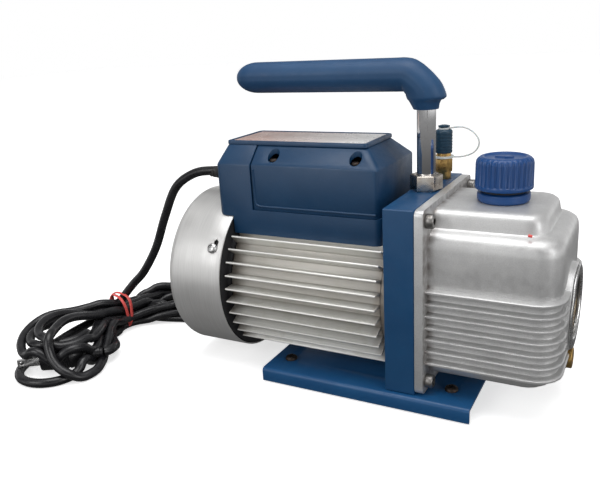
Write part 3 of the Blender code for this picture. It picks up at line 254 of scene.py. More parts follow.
def painted(name, deep, light, roughness, grain, depth, dust=0.0):
    """Paint or moulded plastic: a soft change of tone, a fine grain and a little dust."""
    look = Look(name, deep, 0.0, roughness)
    tone = look.ranged(look.noise(28.0, 4.0, 0.6), 0.35, 0.68)
    base = look.mix(tone, deep, light)
    if dust:
        specks = look.ranged(look.noise(900.0, 2.0, 0.6), 0.66, 0.80, 0.0, dust)
        base = look.mix(specks, base, (0.32, 0.36, 0.42))
    look.colour(base)
    look.worn(150.0, 3.0, roughness - 0.05, roughness + 0.07)
    look.bump(((grain, 2.0, 0.55), depth), ((60.0, 2.0), 0.06))
    return look.mat


def floor_material():
    look = Look("pale_floor", (0.90, 0.90, 0.90), 0.0, 0.75)
    fill(look.bsdf, Emission_Color=(1.0, 1.0, 1.0, 1.0), Emission_Strength=0.62)
    look.colour(look.mix(look.noise(3.0, 3.0), (0.895, 0.897, 0.90), (0.915, 0.915, 0.915)))
    return look.mat


def cast_aluminium():
    look = Look("cast_aluminium", (0.70, 0.70, 0.70), 0.60, 0.42)
    tone = look.ranged(look.noise(34.0, 5.0, 0.65), 0.3, 0.7)
    base = look.mix(tone, (0.62, 0.62, 0.62), (0.76, 0.76, 0.755))
    grain = look.noise(1500.0, 3.0, 0.6)
    base = look.mix(look.ranged(grain, 0.35, 0.75, 0.0, 0.35), base, (0.42, 0.41, 0.41))
    # painted shade: the casing is darkened in a brownish tone next to the flange, fading away from it
    joint = look.ranged(look.axis("x"), 0.0560, 0.0605, 0.75, 0.0)
    inner = look.ranged(look.axis("x"), 0.0555, 0.0559)
    flange_shade = look.math("MULTIPLY", look.math("MULTIPLY", joint, inner),
                      look.ranged(look.noise(160.0, 3.0), 0.3, 0.65))
    look.colour(look.mix(flange_shade, base, (0.12, 0.085, 0.065)))
    look.worn(260.0, 4.0, 0.34, 0.50)
    look.bump((grain, 0.035), ((240.0, 3.0), 0.05), ((45.0, 2.0), 0.10))
    return look.mat


def finned_aluminium():
    look = Look("finned_aluminium", (0.78, 0.77, 0.73), 0.35, 0.42)
    lines = look.noise(1.0, 2.0, 0.6, look.stretched(18.0, 1500.0, 1500.0))
    base = look.mix(look.ranged(lines, 0.3, 0.7), (0.74, 0.735, 0.70), (0.86, 0.855, 0.82))
    patch = look.ranged(look.noise(60.0, 5.0, 0.7), 0.50, 0.72, 0.0, 0.35)
    base = look.mix(patch, base, (0.52, 0.50, 0.40))
    radius = look.shaft_radius()
    # painted shade: darker close to the barrel, at the fins' roots in the channels between them
    root_shade = look.ranged(radius, 0.0480, 0.0515, 0.72, 0.0)
    base = look.mix(root_shade, base, (0.36, 0.335, 0.30))
    left = look.ranged(look.axis("x"), -0.0895, -0.0770, 0.92, 0.0)
    uneven = look.ranged(look.noise(130.0, 4.0, 0.6), 0.25, 0.62, 0.45, 1.0)
    base = look.mix(look.math("MULTIPLY", left, uneven), base, (0.10, 0.070, 0.045))
    # painted shade: darker brown towards the right end, where the fins meet the pump body
    right = look.ranged(look.axis("x"), 0.0190, 0.0250, 0.0, 0.55)
    base = look.mix(look.math("MULTIPLY", right, uneven), base, (0.30, 0.22, 0.15))
    # painted highlight: the fins' tips are made lighter
    tip = look.ranged(radius, 0.0568, 0.0577)
    look.colour(look.mix(tip, base, (0.93, 0.92, 0.89)))
    look.rough(look.ranged(lines, 0.3, 0.7, 0.34, 0.50))
    look.bump((lines, 0.03), ((420.0, 3.0), 0.03))
    return look.mat


def brushed_sheet():
    look = Look("brushed_sheet", (0.70, 0.70, 0.69), 0.55, 0.40)
    lines = look.noise(1.0, 3.0, 0.65, look.stretched(2600.0, 40.0, 40.0))
    base = look.mix(look.ranged(lines, 0.3, 0.7), (0.64, 0.635, 0.625), (0.74, 0.735, 0.725))
    smear = look.ranged(look.noise(26.0, 4.0, 0.6), 0.48, 0.75, 0.0, 0.30)
    look.colour(look.mix(smear, base, (0.52, 0.51, 0.49)))
    look.worn(90.0, 4.0, 0.34, 0.47)
    look.bump((lines, 0.012), ((500.0, 2.0), 0.012))
    return look.mat


def bright_metal(name, clean, stained, roughness, stain=(0.55, 0.75), scale=420.0):
    """Bare or plated metal with small stains; stain is the noise range where they come in."""
    look = Look(name, clean, 1.0, roughness)
    look.toned(look.noise(scale, 4.0, 0.65), *stain, clean, stained)
    look.worn(scale * 1.7, 3.0, roughness, roughness + 0.16)
    look.bump(((900.0, 2.0), 0.012))
    return look.mat


def chrome():
    """Bright plating with a faint haze."""
    look = Look("chrome", (0.83, 0.83, 0.84), 1.0, 0.05)
    haze = look.noise(300.0, 4.0, 0.6)
    look.colour(look.mix(look.ranged(haze, 0.5, 0.8, 0.0, 0.5), (0.84, 0.84, 0.85),
                         (0.62, 0.60, 0.58)))
    look.rough(look.ranged(haze, 0.35, 0.75, 0.03, 0.13))
    return look.mat


def matte(name, colour, roughness=0.6, grain=900.0, depth=0.04, lift=1.7):
    """Rubber, black castings and other plain matte materials."""
    look = Look(name, colour, 0.0, roughness)
    light = tuple(min(c * lift, 1.0) for c in colour)
    look.toned(look.noise(70.0, 4.0, 0.6), 0.35, 0.75, colour, light)
    look.worn(210.0, 3.0, roughness - 0.06, roughness + 0.08)
    look.bump(((grain, 3.0, 0.6), depth))
    return look.mat


def cord_sheath():
    look = Look("cord_sheath", (0.012, 0.012, 0.014), 0.0, 0.26)
    look.toned(look.noise(90.0, 4.0), 0.4, 0.75, (0.010, 0.010, 0.012), (0.026, 0.026, 0.029))
    look.worn(160.0, 3.0, 0.20, 0.36)
    look.bump(((180.0, 2.0), 0.10), ((1400.0, 2.0), 0.012))
    return look.mat


def winding_wire():
    look = Look("winding_wire", (0.60, 0.24, 0.09), 0.7, 0.35)
    strands = look.noise(1.0, 2.0, 0.5, look.stretched(1800.0, 200.0, 200.0))
    look.toned(strands, 0.35, 0.65, (0.30, 0.10, 0.035), (0.72, 0.33, 0.13))
    look.bump((strands, 0.25))
    return look.mat


def laminations():
    look = Look("laminations", (0.30, 0.30, 0.32), 0.9, 0.42)
    sheets = look.noise(1.0, 1.0, 0.5, look.stretched(2000.0, 4.0, 4.0))
    look.toned(sheets, 0.4, 0.6, (0.17, 0.16, 0.16), (0.40, 0.40, 0.42))
    look.bump((sheets, 0.08))
    return look.mat


def label_print():
    """A pale sticker, warm at one end; it carries no lettering."""
    look = Look("label_print", (0.72, 0.68, 0.64), 0.0, 0.30)
    along = look.ranged(look.axis("x"), -0.085, 0.000)
    base = look.mix(along, (0.46, 0.27, 0.22), (0.80, 0.80, 0.79))
    look.colour(look.mix(look.ranged(look.noise(90.0, 4.0), 0.4, 0.8, 0.0, 0.25), base,
                         (0.55, 0.50, 0.47)))
    look.worn(140.0, 3.0, 0.24, 0.38)
    look.bump(((700.0, 2.0), 0.01))
    return look.mat


def clear_strap():
    look = Look("clear_strap", (0.86, 0.87, 0.84), 0.0, 0.28, Alpha=0.95, Subsurface_Weight=0.15)
    look.toned(look.noise(240.0, 3.0), 0.35, 0.7, (0.84, 0.85, 0.81), (0.93, 0.93, 0.91))
    look.bump(((600.0, 2.0), 0.02))
    return look.mat


def window_glass():
    look = Look("window_glass", (0.78, 0.84, 0.82), 0.0, 0.04, Alpha=0.30)
    look.rough(look.ranged(look.noise(260.0, 3.0), 0.4, 0.8, 0.03, 0.10))
    look.bump(((90.0, 2.0), 0.02))
    return look.mat


def oil_view():
    """What shows behind the sight glass: the oil up to its level, and the room above painted dark as
    shade.
    """
    look = Look("oil_view", (0.10, 0.07, 0.03), 0.0, 0.22)
    level = look.ranged(look.axis("z"), 0.0648, 0.0654)
    deep = look.ranged(look.axis("z"), 0.045, 0.0648)
    oil = look.mix(deep, (0.16, 0.085, 0.018), (0.42, 0.26, 0.06))
    # painted shade: the empty room above the oil level
    air_shade = look.mix(look.noise(80.0, 3.0), (0.055, 0.055, 0.052), (0.10, 0.098, 0.09))
    look.colour(look.mix(level, oil, air_shade))
    look.bump(((120.0, 3.0), 0.15))
    return look.mat


LOOKS = {}


def make_looks():
    LOOKS.update({
        "box": painted("box_plastic", (0.005, 0.04, 0.104), (0.008, 0.05, 0.124), 0.4,
                       1900.0, 0.05, 0.1),
        "body": painted("body_paint", (0.008, 0.062, 0.165), (0.012, 0.076, 0.19), 0.36,
                        900.0, 0.03, 0.06),
        "base": painted("base_paint", (0.008, 0.074, 0.205), (0.012, 0.09, 0.235), 0.34,
                        800.0, 0.03, 0.06),
        "grip": painted("grip_rubber", (0.008, 0.056, 0.15), (0.013, 0.07, 0.175), 0.5,
                        1500.0, 0.06, 0.1),
        "cap": painted("cap_plastic", (0.007, 0.056, 0.205), (0.01, 0.068, 0.235), 0.33,
                       1200.0, 0.025, 0.05),
        "dark_cap": painted("dark_cap_plastic", (0.008, 0.04, 0.076), (0.011, 0.05, 0.09),
                            0.38, 1200.0, 0.03),
        "cast": cast_aluminium(),
        "fins": finned_aluminium(),
        "sheet": brushed_sheet(),
        "zinc": bright_metal("zinc_plate", (0.70, 0.70, 0.70), (0.46, 0.44, 0.40), 0.20),
        "nickel": bright_metal("nickel_plate", (0.58, 0.54, 0.49), (0.40, 0.33, 0.27), 0.20,
                               (0.42, 0.80), 160.0),
        "dark_steel": bright_metal("dark_steel", (0.060, 0.050, 0.045), (0.11, 0.052, 0.028), 0.46),
        "dull_zinc": bright_metal("dull_zinc", (0.30, 0.29, 0.28), (0.16, 0.14, 0.12), 0.34),
        "steel": bright_metal("machined_steel", (0.46, 0.46, 0.47), (0.32, 0.30, 0.28), 0.26),
        "brass": bright_metal("brass", (0.60, 0.39, 0.14), (0.30, 0.16, 0.06), 0.26, (0.48, 0.72)),
        "chrome": chrome(),
        "shield": matte("black_shield", (0.016, 0.016, 0.018), 0.55, 700.0, 0.10),
        "black_plastic": matte("black_plastic", (0.014, 0.014, 0.015), 0.42, 1600.0, 0.03),
        "rubber": matte("black_rubber", (0.018, 0.018, 0.018), 0.66, 800.0, 0.05),
        "cord": cord_sheath(),
        "band": matte("red_band", (0.70, 0.085, 0.075), 0.42, 600.0, 0.03, 1.35),
        "vane": matte("vane_composite", (0.10, 0.075, 0.06), 0.6, 1200.0, 0.04),
        "winding": winding_wire(),
        "laminations": laminations(),
        "label": label_print(),
        "strap": clear_strap(),
        "glass": window_glass(),
        "oil": oil_view(),
    })


# ---- mesh building ----

def solid(name, verts, faces):
    """A mesh object from points in millimetres, with its faces turned outward."""
    mesh = bpy.data.meshes.new(name)
    mesh.from_pydata([Vector(v) * MM for v in verts], [], faces)
    work = bmesh.new()
    work.from_mesh(mesh)
    bmesh.ops.remove_doubles(work, verts=work.verts, dist=0.002 * MM)
    bmesh.ops.recalc_face_normals(work, faces=work.faces)
    work.to_mesh(mesh)
    work.free()
    obj = bpy.data.objects.new(name, mesh)
    link(obj)
    return obj


def skin(rings, close=False):
    """Points and faces between rings of equal length; open ends are capped."""
    n, count = len(rings[0]), len(rings)
    verts = [p for ring in rings for p in ring]
    faces = []
    for i in range(count if close else count - 1):
        a, b = i * n, ((i + 1) % count) * n
        for k in range(n):
            k2 = (k + 1) % n
            faces.append((a + k, a + k2, b + k2, b + k))
    if not close:
        faces.append(tuple(range(n - 1, -1, -1)))
        faces.append(tuple((count - 1) * n + k for k in range(n)))
    return verts, faces


def loft(name, rings, close=False):
    return solid(name, *skin(rings, close))


def grid_plane(size, steps):
    """Points and faces of a flat square at floor level."""
    line = [size * (i / steps - 0.5) for i in range(steps + 1)]
    verts = [(x, y, 0.0) for x in line for y in line]
    n = steps + 1
    faces = [(i * n + j, (i + 1) * n + j, (i + 1) * n + j + 1, i * n + j + 1)
             for i in range(steps) for j in range(steps)]
    return verts, faces


UNIT = {"x": Vector((1, 0, 0)), "y": Vector((0, 1, 0)), "z": Vector((0, 0, 1))}


def direction(axis):
    return UNIT[axis] if isinstance(axis, str) else Vector(axis).normalized()


def around(centre, axis, radius, segments):
    """Points of a circle about an axis, given by letter or by direction."""
    along = direction(axis)
    helper = UNIT["x"] if abs(along.x) < 0.9 else UNIT["y"]
    side = along.cross(helper).normalized()
    up = along.cross(side)
    points = []
    for k in range(segments):
        t = 2 * math.pi * k / segments
        points.append(tuple(Vector(centre) + side * (radius * math.cos(t))
                            + up * (radius * math.sin(t))))
    return points


def turned_rings(axis, centre, profile, segments):
    along = direction(axis)
    return [around(Vector(centre) + along * a, along, max(r, 0.02), segments)
            for a, r in profile]


def turned(name, axis, centre, profile, segments):
    """Turned solid from (place along the axis, radius) pairs, capped at both ends."""
    return loft(name, turned_rings(axis, centre, profile, segments))


def turned_hoop(name, axis, centre, profile, segments):
    """Turned solid with a hole, from a closed profile."""
    return loft(name, turned_rings(axis, centre, profile, segments), close=True)


def arc(x, y, radius, start, turn, steps):
    """Points about (x, y) from start through turn, in degrees, with both ends."""
    angles = [math.radians(start + turn * k / steps) for k in range(steps + 1)]
    return [(x + radius * math.cos(t), y + radius * math.sin(t)) for t in angles]


def curved(p0, p1, p2, steps):
    """Points that round the corner p1 between p0 and p2."""
    points = []
    for k in range(steps + 1):
        t = k / steps
        points.append(tuple((1 - t) ** 2 * a + 2 * t * (1 - t) * b + t * t * c
                            for a, b, c in zip(p0, p1, p2)))
    return points


def settle(obj):
    """Applies the object's modifiers."""
    graph = bpy.context.evaluated_depsgraph_get()
    graph.update()
    mesh = bpy.data.meshes.new_from_object(obj.evaluated_get(graph))
    obj.modifiers.clear()
    old = obj.data
    obj.data = mesh
    bpy.data.meshes.remove(old)


def cut(obj, *tools):
    """Takes the tools' shapes out of the object and removes the tools."""
    for tool in tools:
        mod = obj.modifiers.new("cut", "BOOLEAN")
        mod.operation = "DIFFERENCE"
        mod.solver = "EXACT"
        mod.object = tool
        settle(obj)
        bpy.data.objects.remove(tool, do_unlink=True)


def merged(pieces):
    """All the pieces' meshes in the first piece; the others are removed."""
    work = bmesh.new()
    for piece in pieces:
        work.from_mesh(piece.data)
    work.to_mesh(pieces[0].data)
    work.free()
    for piece in pieces[1:]:
        bpy.data.objects.remove(piece, do_unlink=True)
    return pieces[0]


def hole(axis, centre, radius, start, end, segments=40):
    return turned("hole", axis, centre, [(start, radius), (end, radius)], segments)


def soften(obj, width, segments=2, angle=34.0):
    mod = obj.modifiers.new("soften", "BEVEL")
    mod.width = width * MM
    mod.segments = segments
    mod.limit_method = "ANGLE"
    mod.angle_limit = math.radians(angle)
    mod.use_clamp_overlap = True
    settle(obj)
    return obj


def dress(obj, look, body="machine", replaces=(), sharp=36.0):
    """Finish a piece: its material, shading and body; the solids it replaces are hidden."""
    obj.data.materials.clear()
    obj.data.materials.append(LOOKS[look])
    for face in obj.data.polygons:
        face.material_index = 0
    obj.data.shade_smooth()
    obj.data.set_sharp_from_angle(angle=math.radians(sharp))
    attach(obj, body)
    if replaces:
        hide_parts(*replaces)
    return obj


def catmull(marks, steps):
    """Smooth points through marks, steps to each stretch."""
    marks = [Vector(m) for m in marks]
    points = []
    for i in range(len(marks) - 1):
        p0, p1 = marks[max(i - 1, 0)], marks[i]
        p2, p3 = marks[i + 1], marks[min(i + 2, len(marks) - 1)]
        for k in range(steps):
            t = k / steps
            points.append(0.5 * (2 * p1 + (p2 - p0) * t + (2 * p0 - 5 * p1 + 4 * p2 - p3) * t ** 2
                                 + (3 * p1 - p0 - 3 * p2 + p3) * t ** 3))
    points.append(marks[-1])
    return points


def evenly(points, gap):
    """The same line with its points about gap apart."""
    out = [Vector(points[0])]
    left = gap
    for a, b in zip(points, points[1:]):
        length = (b - a).length
        at = 0.0
        while length - at >= left:
            at += left
            out.append(a.lerp(b, at / length))
            left = gap
        left -= length - at
    if (out[-1] - points[-1]).length > gap * 0.4:
        out.append(Vector(points[-1]))
    return out


def tube(name, points, radius, resolution=5):
    """A round curve piece through points in millimetres."""
    curve = bpy.data.curves.new(name, "CURVE")
    curve.dimensions = "3D"
    curve.bevel_depth = radius * MM
    curve.bevel_resolution = resolution
    curve.use_fill_caps = True
    spline = curve.splines.new("POLY")
    spline.points.add(len(points) - 1)
    for spot, p in zip(spline.points, points):
        spot.co = (p[0] * MM, p[1] * MM, p[2] * MM, 1.0)
    spline.use_smooth = True
    obj = bpy.data.objects.new(name, curve)
    link(obj)
    return obj


def dress_curve(obj, look, replaces=()):
    """Finish a curve piece, which rides on the machine."""
    obj.data.materials.append(LOOKS[look])
    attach(obj, "machine")
    if replaces:
        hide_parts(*replaces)


# ---- cord ----

CORD_RADIUS = 3.5
GLAND = Vector((-105.7, -10.0, 141.5))
CORD_MARKS = [GLAND, (-115.7, -10.0, 141.7), (-124.0, -10.6, 142.4), (-141.5, -11.2, 139.6),
              (-160.5, -11.8, 127.6), (-174.5, -12.4, 103.0), (-187.5, -12.8, 75.6),
              (-203.5, -13.4, 52.6), (-216.5, -14.2, 40.0), (-224.0, -15.5, 32.0),
              (-228.6, -17.5, 26.0), (-230.0, -20.5, 22.9)]
# the hank: where it is tied, where each run crosses the band, and the loops between the runs
BAND = Vector((-230.0, -20.5, 0.0))
BAND_ALONG = Vector((5.2, 18.5, 0.0)).normalized()      # the way the runs go
BAND_SIDE = Vector((BAND_ALONG.y, -BAND_ALONG.x, 0.0))
RUNS = [(0.0, 22.9), (0.0, 4.3), (-7.2, 16.7), (-3.6, 10.5), (0.0, 16.7), (3.6, 10.5),
        (7.2, 16.7), (10.8, 10.5), (-10.8, 10.5), (7.2, 4.3), (-7.2, 4.3)]
# centre of the loop's end, heading, radius, tilt and droop
HANK_LOOPS = [
    ((-229.0, -90.0, 17.0), -74.0, 31.0, 10.0, 10.0),
    ((-188.0, 40.0, 3.6), 52.0, 31.0, 0.0, 0.0),
    ((-232.0, -86.0, 20.0), -78.0, 25.0, 8.0, 4.0),
    ((-191.0, 36.0, 10.4), 55.0, 27.0, 0.0, 0.0),
    ((-225.0, -88.0, 24.0), -74.0, 21.5, 20.0, 6.0),
    ((-192.0, 36.0, 3.6), 50.0, 22.5, 0.0, 0.0),
    ((-204.0, -100.0, 16.5), -68.0, 22.0, 35.0, 24.0),
    ((-194.0, 30.0, 17.2), 50.0, 24.0, 0.0, 0.0),
    ((-222.0, -106.0, 3.6), -80.0, 27.0, 0.0, 0.0),
    ((-196.0, 26.0, 10.4), 52.0, 21.5, 0.0, 0.0),
]
PLUG_SPOT = Vector((-221.2, -101.6, 0.0))
PLUG_ALONG = Vector((0.83, 0.56, 0.0)).normalized()
PLUG_Z = 10.6
PLUG_HALF, PLUG_THICK = 11.8, 8.0
CORD_STEP = 3.2
LAY_STEPS = 45


def bezier(p0, p1, p2, p3, steps):
    points = []
    for k in range(steps):
        t = k / steps
        points.append(p0 * (1 - t) ** 3 + p1 * (3 * t * (1 - t) ** 2)
                      + p2 * (3 * t ** 2 * (1 - t)) + p3 * t ** 3)
    return points


def in_band(place):
    """The point where a run crosses the band; place is (across, height)."""
    return BAND + BAND_SIDE * place[0] + Vector((0, 0, place[1]))


def hank_loop(enter, leave, centre, heading, radius, tilt, droop):
    """One loop: from the band to a half circle round centre, and back to the band.

    heading is the loop's direction in plan, tilt lifts its first side over its second, and
    droop points its end down; all three are in degrees.
    """
    h, t, d = math.radians(heading), math.radians(tilt), math.radians(droop)
    centre = Vector(centre)
    out = Vector((math.cos(h) * math.cos(d), math.sin(h) * math.cos(d), -math.sin(d)))
    side = Vector((math.sin(h) * math.cos(t), -math.cos(h) * math.cos(t), math.sin(t)))
    start, end = in_band(enter), in_band(leave)
    leaving = BAND_ALONG if out.dot(BAND_ALONG) > 0 else -BAND_ALONG
    first, last = centre + side * radius, centre - side * radius
    there, back = (first - start).length * 0.42, (end - last).length * 0.42
    points = bezier(start, start + leaving * there, first - out * there, first, 12)
    for k in range(12):
        a = math.pi * k / 12
        points.append(centre + side * (radius * math.cos(a)) + out * (radius * math.sin(a)))
    return points + bezier(last, last - out * back, end + leaving * back, end, 12)


def lay_cord(points):
    """Lets the hank settle: its runs push each other apart and rest on the floor and the plug.

    The free stretch under the gland and the plug's end stay put.
    """
    spots = numpy.array([tuple(p) for p in points])
    drawn = spots.copy()
    count = len(spots)
    order = numpy.arange(count)
    free = ((order > 60) & (order < count - 3)).astype(float)[:, None]
    apart = numpy.abs(order[:, None] - order[None, :]) > 12
    plug = numpy.array(tuple(PLUG_SPOT + PLUG_ALONG * 3.0 + Vector((0, 0, PLUG_Z))))
    plug_axes = numpy.array([tuple(PLUG_ALONG), (-PLUG_ALONG.y, PLUG_ALONG.x, 0.0), (0.0, 0.0, 1.0)])
    room = numpy.array((17.0, PLUG_HALF, PLUG_THICK)) + CORD_RADIUS
    for _ in range(LAY_STEPS):
        gaps = spots[:, None, :] - spots[None, :, :]
        far = numpy.sqrt((gaps ** 2).sum(axis=2)) + 1e-6
        press = numpy.where(apart, numpy.clip(2 * CORD_RADIUS + 0.15 - far, 0.0, 1.5), 0.0)
        push = (gaps / far[:, :, None] * press[:, :, None]).sum(axis=1)
        push[:, 2] *= 1.3
        share = numpy.maximum((press > 0).sum(axis=1), 1)[:, None]
        spots += 0.5 * push / share ** 0.5 * free
        inside = (spots - plug) @ plug_axes.T
        depth = room - numpy.abs(inside)
        hit = (depth > 0).all(axis=1) & (order < count - 14)
        spots[hit, 2] += numpy.minimum(depth[hit, 2], 0.45)
        even = (numpy.roll(spots, 1, axis=0) + numpy.roll(spots, -1, axis=0)) / 2
        spots += ((even - spots) * 0.16 + (drawn - spots) * 0.02) * free
        spots[:, 2] = numpy.maximum(spots[:, 2], CORD_RADIUS)
    return [Vector(spot) for spot in spots.tolist()]


def cord_route():
    """The whole cord: down from the gland, folded ten times through the band, to the plug."""
    points = catmull(CORD_MARKS, 8)[:-1]
    for i, loop in enumerate(HANK_LOOPS):
        points += hank_loop(RUNS[i], RUNS[i + 1], *loop)
    tail = PLUG_SPOT + PLUG_ALONG * 34.0 + Vector((0, 0, PLUG_Z))
    start = in_band(RUNS[-1])
    points += bezier(start, start - BAND_ALONG * 22.0, tail + PLUG_ALONG * 20.0, tail, 12) + [tail]
    return lay_cord(evenly(points, CORD_STEP))


def squared_oval(t, power):
    """A point on a unit oval; a lower power gives fuller corners."""
    c, s = math.cos(t), math.sin(t)
    return math.copysign(abs(c) ** power, c), math.copysign(abs(s) ** power, s)


def band_ring(name, offset, phase, lift):
    """One turn of the elastic band round the hank; offset and phase tilt it along the hank."""
    side, up = -BAND_SIDE, UNIT["z"]
    mid = BAND + up * 15.4
    rings = []
    count = 72
    for k in range(count):
        t = 2 * math.pi * k / count
        a, b = squared_oval(t, 0.7)
        slide = offset * math.cos(t + phase)
        centre = mid + side * (a * (13.4 + lift)) + up * (b * (14.0 + lift)) + BAND_ALONG * slide
        centre.z = max(centre.z, 0.9)
        out = (side * math.cos(t) + up * math.sin(t)).normalized()
        ring = []
        for j in range(12):
            v = 2 * math.pi * j / 12
            ring.append(tuple(centre + BAND_ALONG * (1.35 * math.cos(v))
                              + out * (0.72 * math.sin(v))))
        rings.append(ring)
    return loft(name, rings, close=True)


def make_plug():
    """Two-blade plug: a rounded block with grip ribs, a ribbed neck and flat blades."""
    across = Vector((-PLUG_ALONG.y, PLUG_ALONG.x, 0))

    def at(a, b, z):
        return tuple(PLUG_SPOT + PLUG_ALONG * a + across * b + UNIT["z"] * z)

    rings = []
    profile = [(-12.0, 9.8, 6.2), (-11.6, 10.9, 7.2), (-10.6, 11.5, 7.7), (-2.0, 11.8, 8.0)]
    for i in range(4):
        a = -1.0 + i * 3.2
        profile += [(a, 11.7, 8.0), (a + 0.5, 10.9, 7.4), (a + 1.5, 10.9, 7.4), (a + 2.0, 11.5, 7.9)]
    profile += [(13.0, 10.8, 7.6), (16.5, 8.6, 6.8), (18.6, 6.4, 5.9), (20.0, 4.9, 4.9)]
    for i in range(4):
        a = 20.6 + i * 3.2
        r = 4.9 - 0.2 * i
        profile += [(a, r, r), (a + 1.5, r - 0.1, r - 0.1), (a + 1.7, r - 0.8, r - 0.8),
                    (a + 2.9, r - 0.8, r - 0.8)]
    profile.append((34.0, 3.6, 3.6))
    for a, half, tall in profile:
        power = 0.55 if half > 7 else 0.95
        oval = [squared_oval(2 * math.pi * k / 32, power) for k in range(32)]
        rings.append([at(a, c * half, PLUG_Z + s * tall) for c, s in oval])
    plug = loft("plug_moulding", rings)
    dress(plug, "cord", replaces=["plug_body"])
    blades = []
    for name, offset in (("plug_blade_front", -6.35), ("plug_blade_back", 6.35)):
        verts = [at(a, b, z) for a in (-29.3, -12.0) for b in (offset - 0.75, offset + 0.75)
                 for z in (PLUG_Z - 3.2, PLUG_Z + 3.2)]
        faces = [(0, 1, 3, 2), (4, 6, 7, 5), (0, 4, 5, 1), (2, 3, 7, 6), (0, 2, 6, 4), (1, 5, 7, 3)]
        blade = solid(name + "_metal", verts, faces)
        cut(blade, hole(across, at(-26.0, offset, PLUG_Z), 1.5, -3.0, 3.0, 24))
        soften(blade, 0.35, 3)
        blades.append(dress(blade, "zinc", replaces=[name]))
    return [plug] + blades


def make_cord():
    route = cord_route()
    cord = tube("mains_cord", route, CORD_RADIUS, 5)
    dress_curve(cord, "cord", ["power_cord", "cord_hank"])
    on_cord = make_plug() + [make_gland()]
    for name, offset, phase, lift in (("elastic_band_first", 2.9, 0.9, 0.0),
                                      ("elastic_band_second", -2.9, 0.9, 0.9)):
        ring = dress(band_ring(name, offset, phase, lift), "band")
        on_cord.append(ring)
    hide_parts("cord_band")


# ---- pieces made from the model's own solids ----

SLOT_LOOKS = {
    "base_paint": "base", "body_paint": "body", "box_plastic": "box", "cap_plastic": "cap",
    "grip_rubber": "grip", "cast_aluminium": "cast", "finned_aluminium": "fins",
    "brushed_sheet": "sheet", "zinc_steel": "zinc", "nickel_steel": "nickel", "chrome": "chrome",
    "inner_steel": "steel", "brass": "brass", "copper_winding": "winding",
    "black_shield": "shield", "black_plastic": "black_plastic", "black_rubber": "rubber",
    "cord_pvc": "cord", "red_rubber": "band", "strap_plastic": "strap", "sight_glass": "glass",
    "vane_composite": "vane",
}
# node: (slot, edge radius in millimetres)
SOFTENED = {
    "base_plate": ("base_paint", 0.5),
    "pump_body": ("body_paint", 0.7),
    "oil_casing": ("cast_aluminium", 0.9),
    "end_shield": ("black_shield", 0.8),
    "motor_housing": ("finned_aluminium", 0.35),
    "terminal_box": ("box_plastic", 0.8),
    "terminal_box_lid": ("box_plastic", 0.8),
    **{"foot_" + place: ("black_rubber", 0.6) for place in ("fan_front", "fan_back", "oil_front",
                                                            "oil_back")},
    "switch_bezel": ("black_plastic", 0.5),
    "rocker_switch": ("black_plastic", 0.6),
    "handle_nut": ("nickel_steel", 0.35),
    "oil_filler_collar": ("cap_plastic", 0.5),
    "sight_glass_ring": ("zinc_steel", 0.4),
    "drain_plug": ("brass", 0.35),
    "drain_plug_washer": ("brass", 0.2),
    "oil_cap_seal": ("black_rubber", 0.3),
    "intake_fitting": ("brass", 0.25),
}


def body_of(node):
    bodies = frame["record"]["behaviour"]["bodies"]
    return next(body for body, nodes in bodies.items() if node in nodes)


def dress_model():
    """Every solid of the model takes the look of its material slot."""
    for obj in frame["nodes"].values():
        for i, slot in enumerate(obj.material_slots):
            name = slot.material.name.split(".")[0] if slot.material else ""
            if name in SLOT_LOOKS:
                obj.data.materials[i] = LOOKS[SLOT_LOOKS[name]]


def soften_model():
    """Copies of the plainer solids with their edges rounded, in place of the sharp ones."""
    for node, (slot, width) in SOFTENED.items():
        obj = frame["nodes"][node].copy()
        obj.data = frame["nodes"][node].data.copy()
        obj.name = node + "_finished"
        link(obj)
        for key in list(obj.keys()):
            del obj[key]
        work = bmesh.new()
        work.from_mesh(obj.data)
        bmesh.ops.remove_doubles(work, verts=work.verts, dist=0.004 * MM)
        bmesh.ops.dissolve_limit(work, angle_limit=math.radians(1.0), verts=work.verts,
                                 edges=work.edges)
        work.to_mesh(obj.data)
        work.free()
        soften(obj, width, 3, 30.0)
        dress(obj, SLOT_LOOKS[slot], body_of(node), [node], 44.0)


# ---- fan cover and screws ----

SHAFT = Vector((0.0, 0.0, AXIS_Z))


def placed(name, rows, centre, out, side):
    """Loft of (distance, outline) rows; an outline's points are (along side, along up)."""
    out, side = Vector(out).normalized(), Vector(side).normalized()
    up = out.cross(side)
    rings = [[tuple(Vector(centre) + out * d + side * a + up * b) for a, b in outline]
             for d, outline in rows]
    return loft(name, rings)


def circle(radius, segments=40):
    return [(radius * math.cos(2 * math.pi * k / segments),
             radius * math.sin(2 * math.pi * k / segments)) for k in range(segments)]


def pan_screw(name, seat, out, radius, look, replaces=()):
    """Pan head with a cross recess and a short shank."""
    rows = [(-9.0, circle(radius * 0.4)), (0.0, circle(radius * 0.4)), (0.0, circle(radius * 0.97)),
            (0.2, circle(radius)), (radius * 0.28, circle(radius * 0.97)),
            (radius * 0.48, circle(radius * 0.84)), (radius * 0.60, circle(radius * 0.62)),
            (radius * 0.66, circle(radius * 0.3))]
    head = placed(name, rows, seat, out, UNIT["x"])
    a, b = radius * 0.56, radius * 0.13
    for wide, tall in ((a, b), (b, a)):
        outline = [(-wide, -tall), (wide, -tall), (wide, tall), (-wide, tall)]
        inner = [(x * 0.55, y * 0.8) for x, y in outline]
        cut(head, placed("cross", [(radius * 0.2, inner), (radius * 0.8, outline)], seat, out,
                         UNIT["x"]))
    dress(head, look, replaces=replaces)


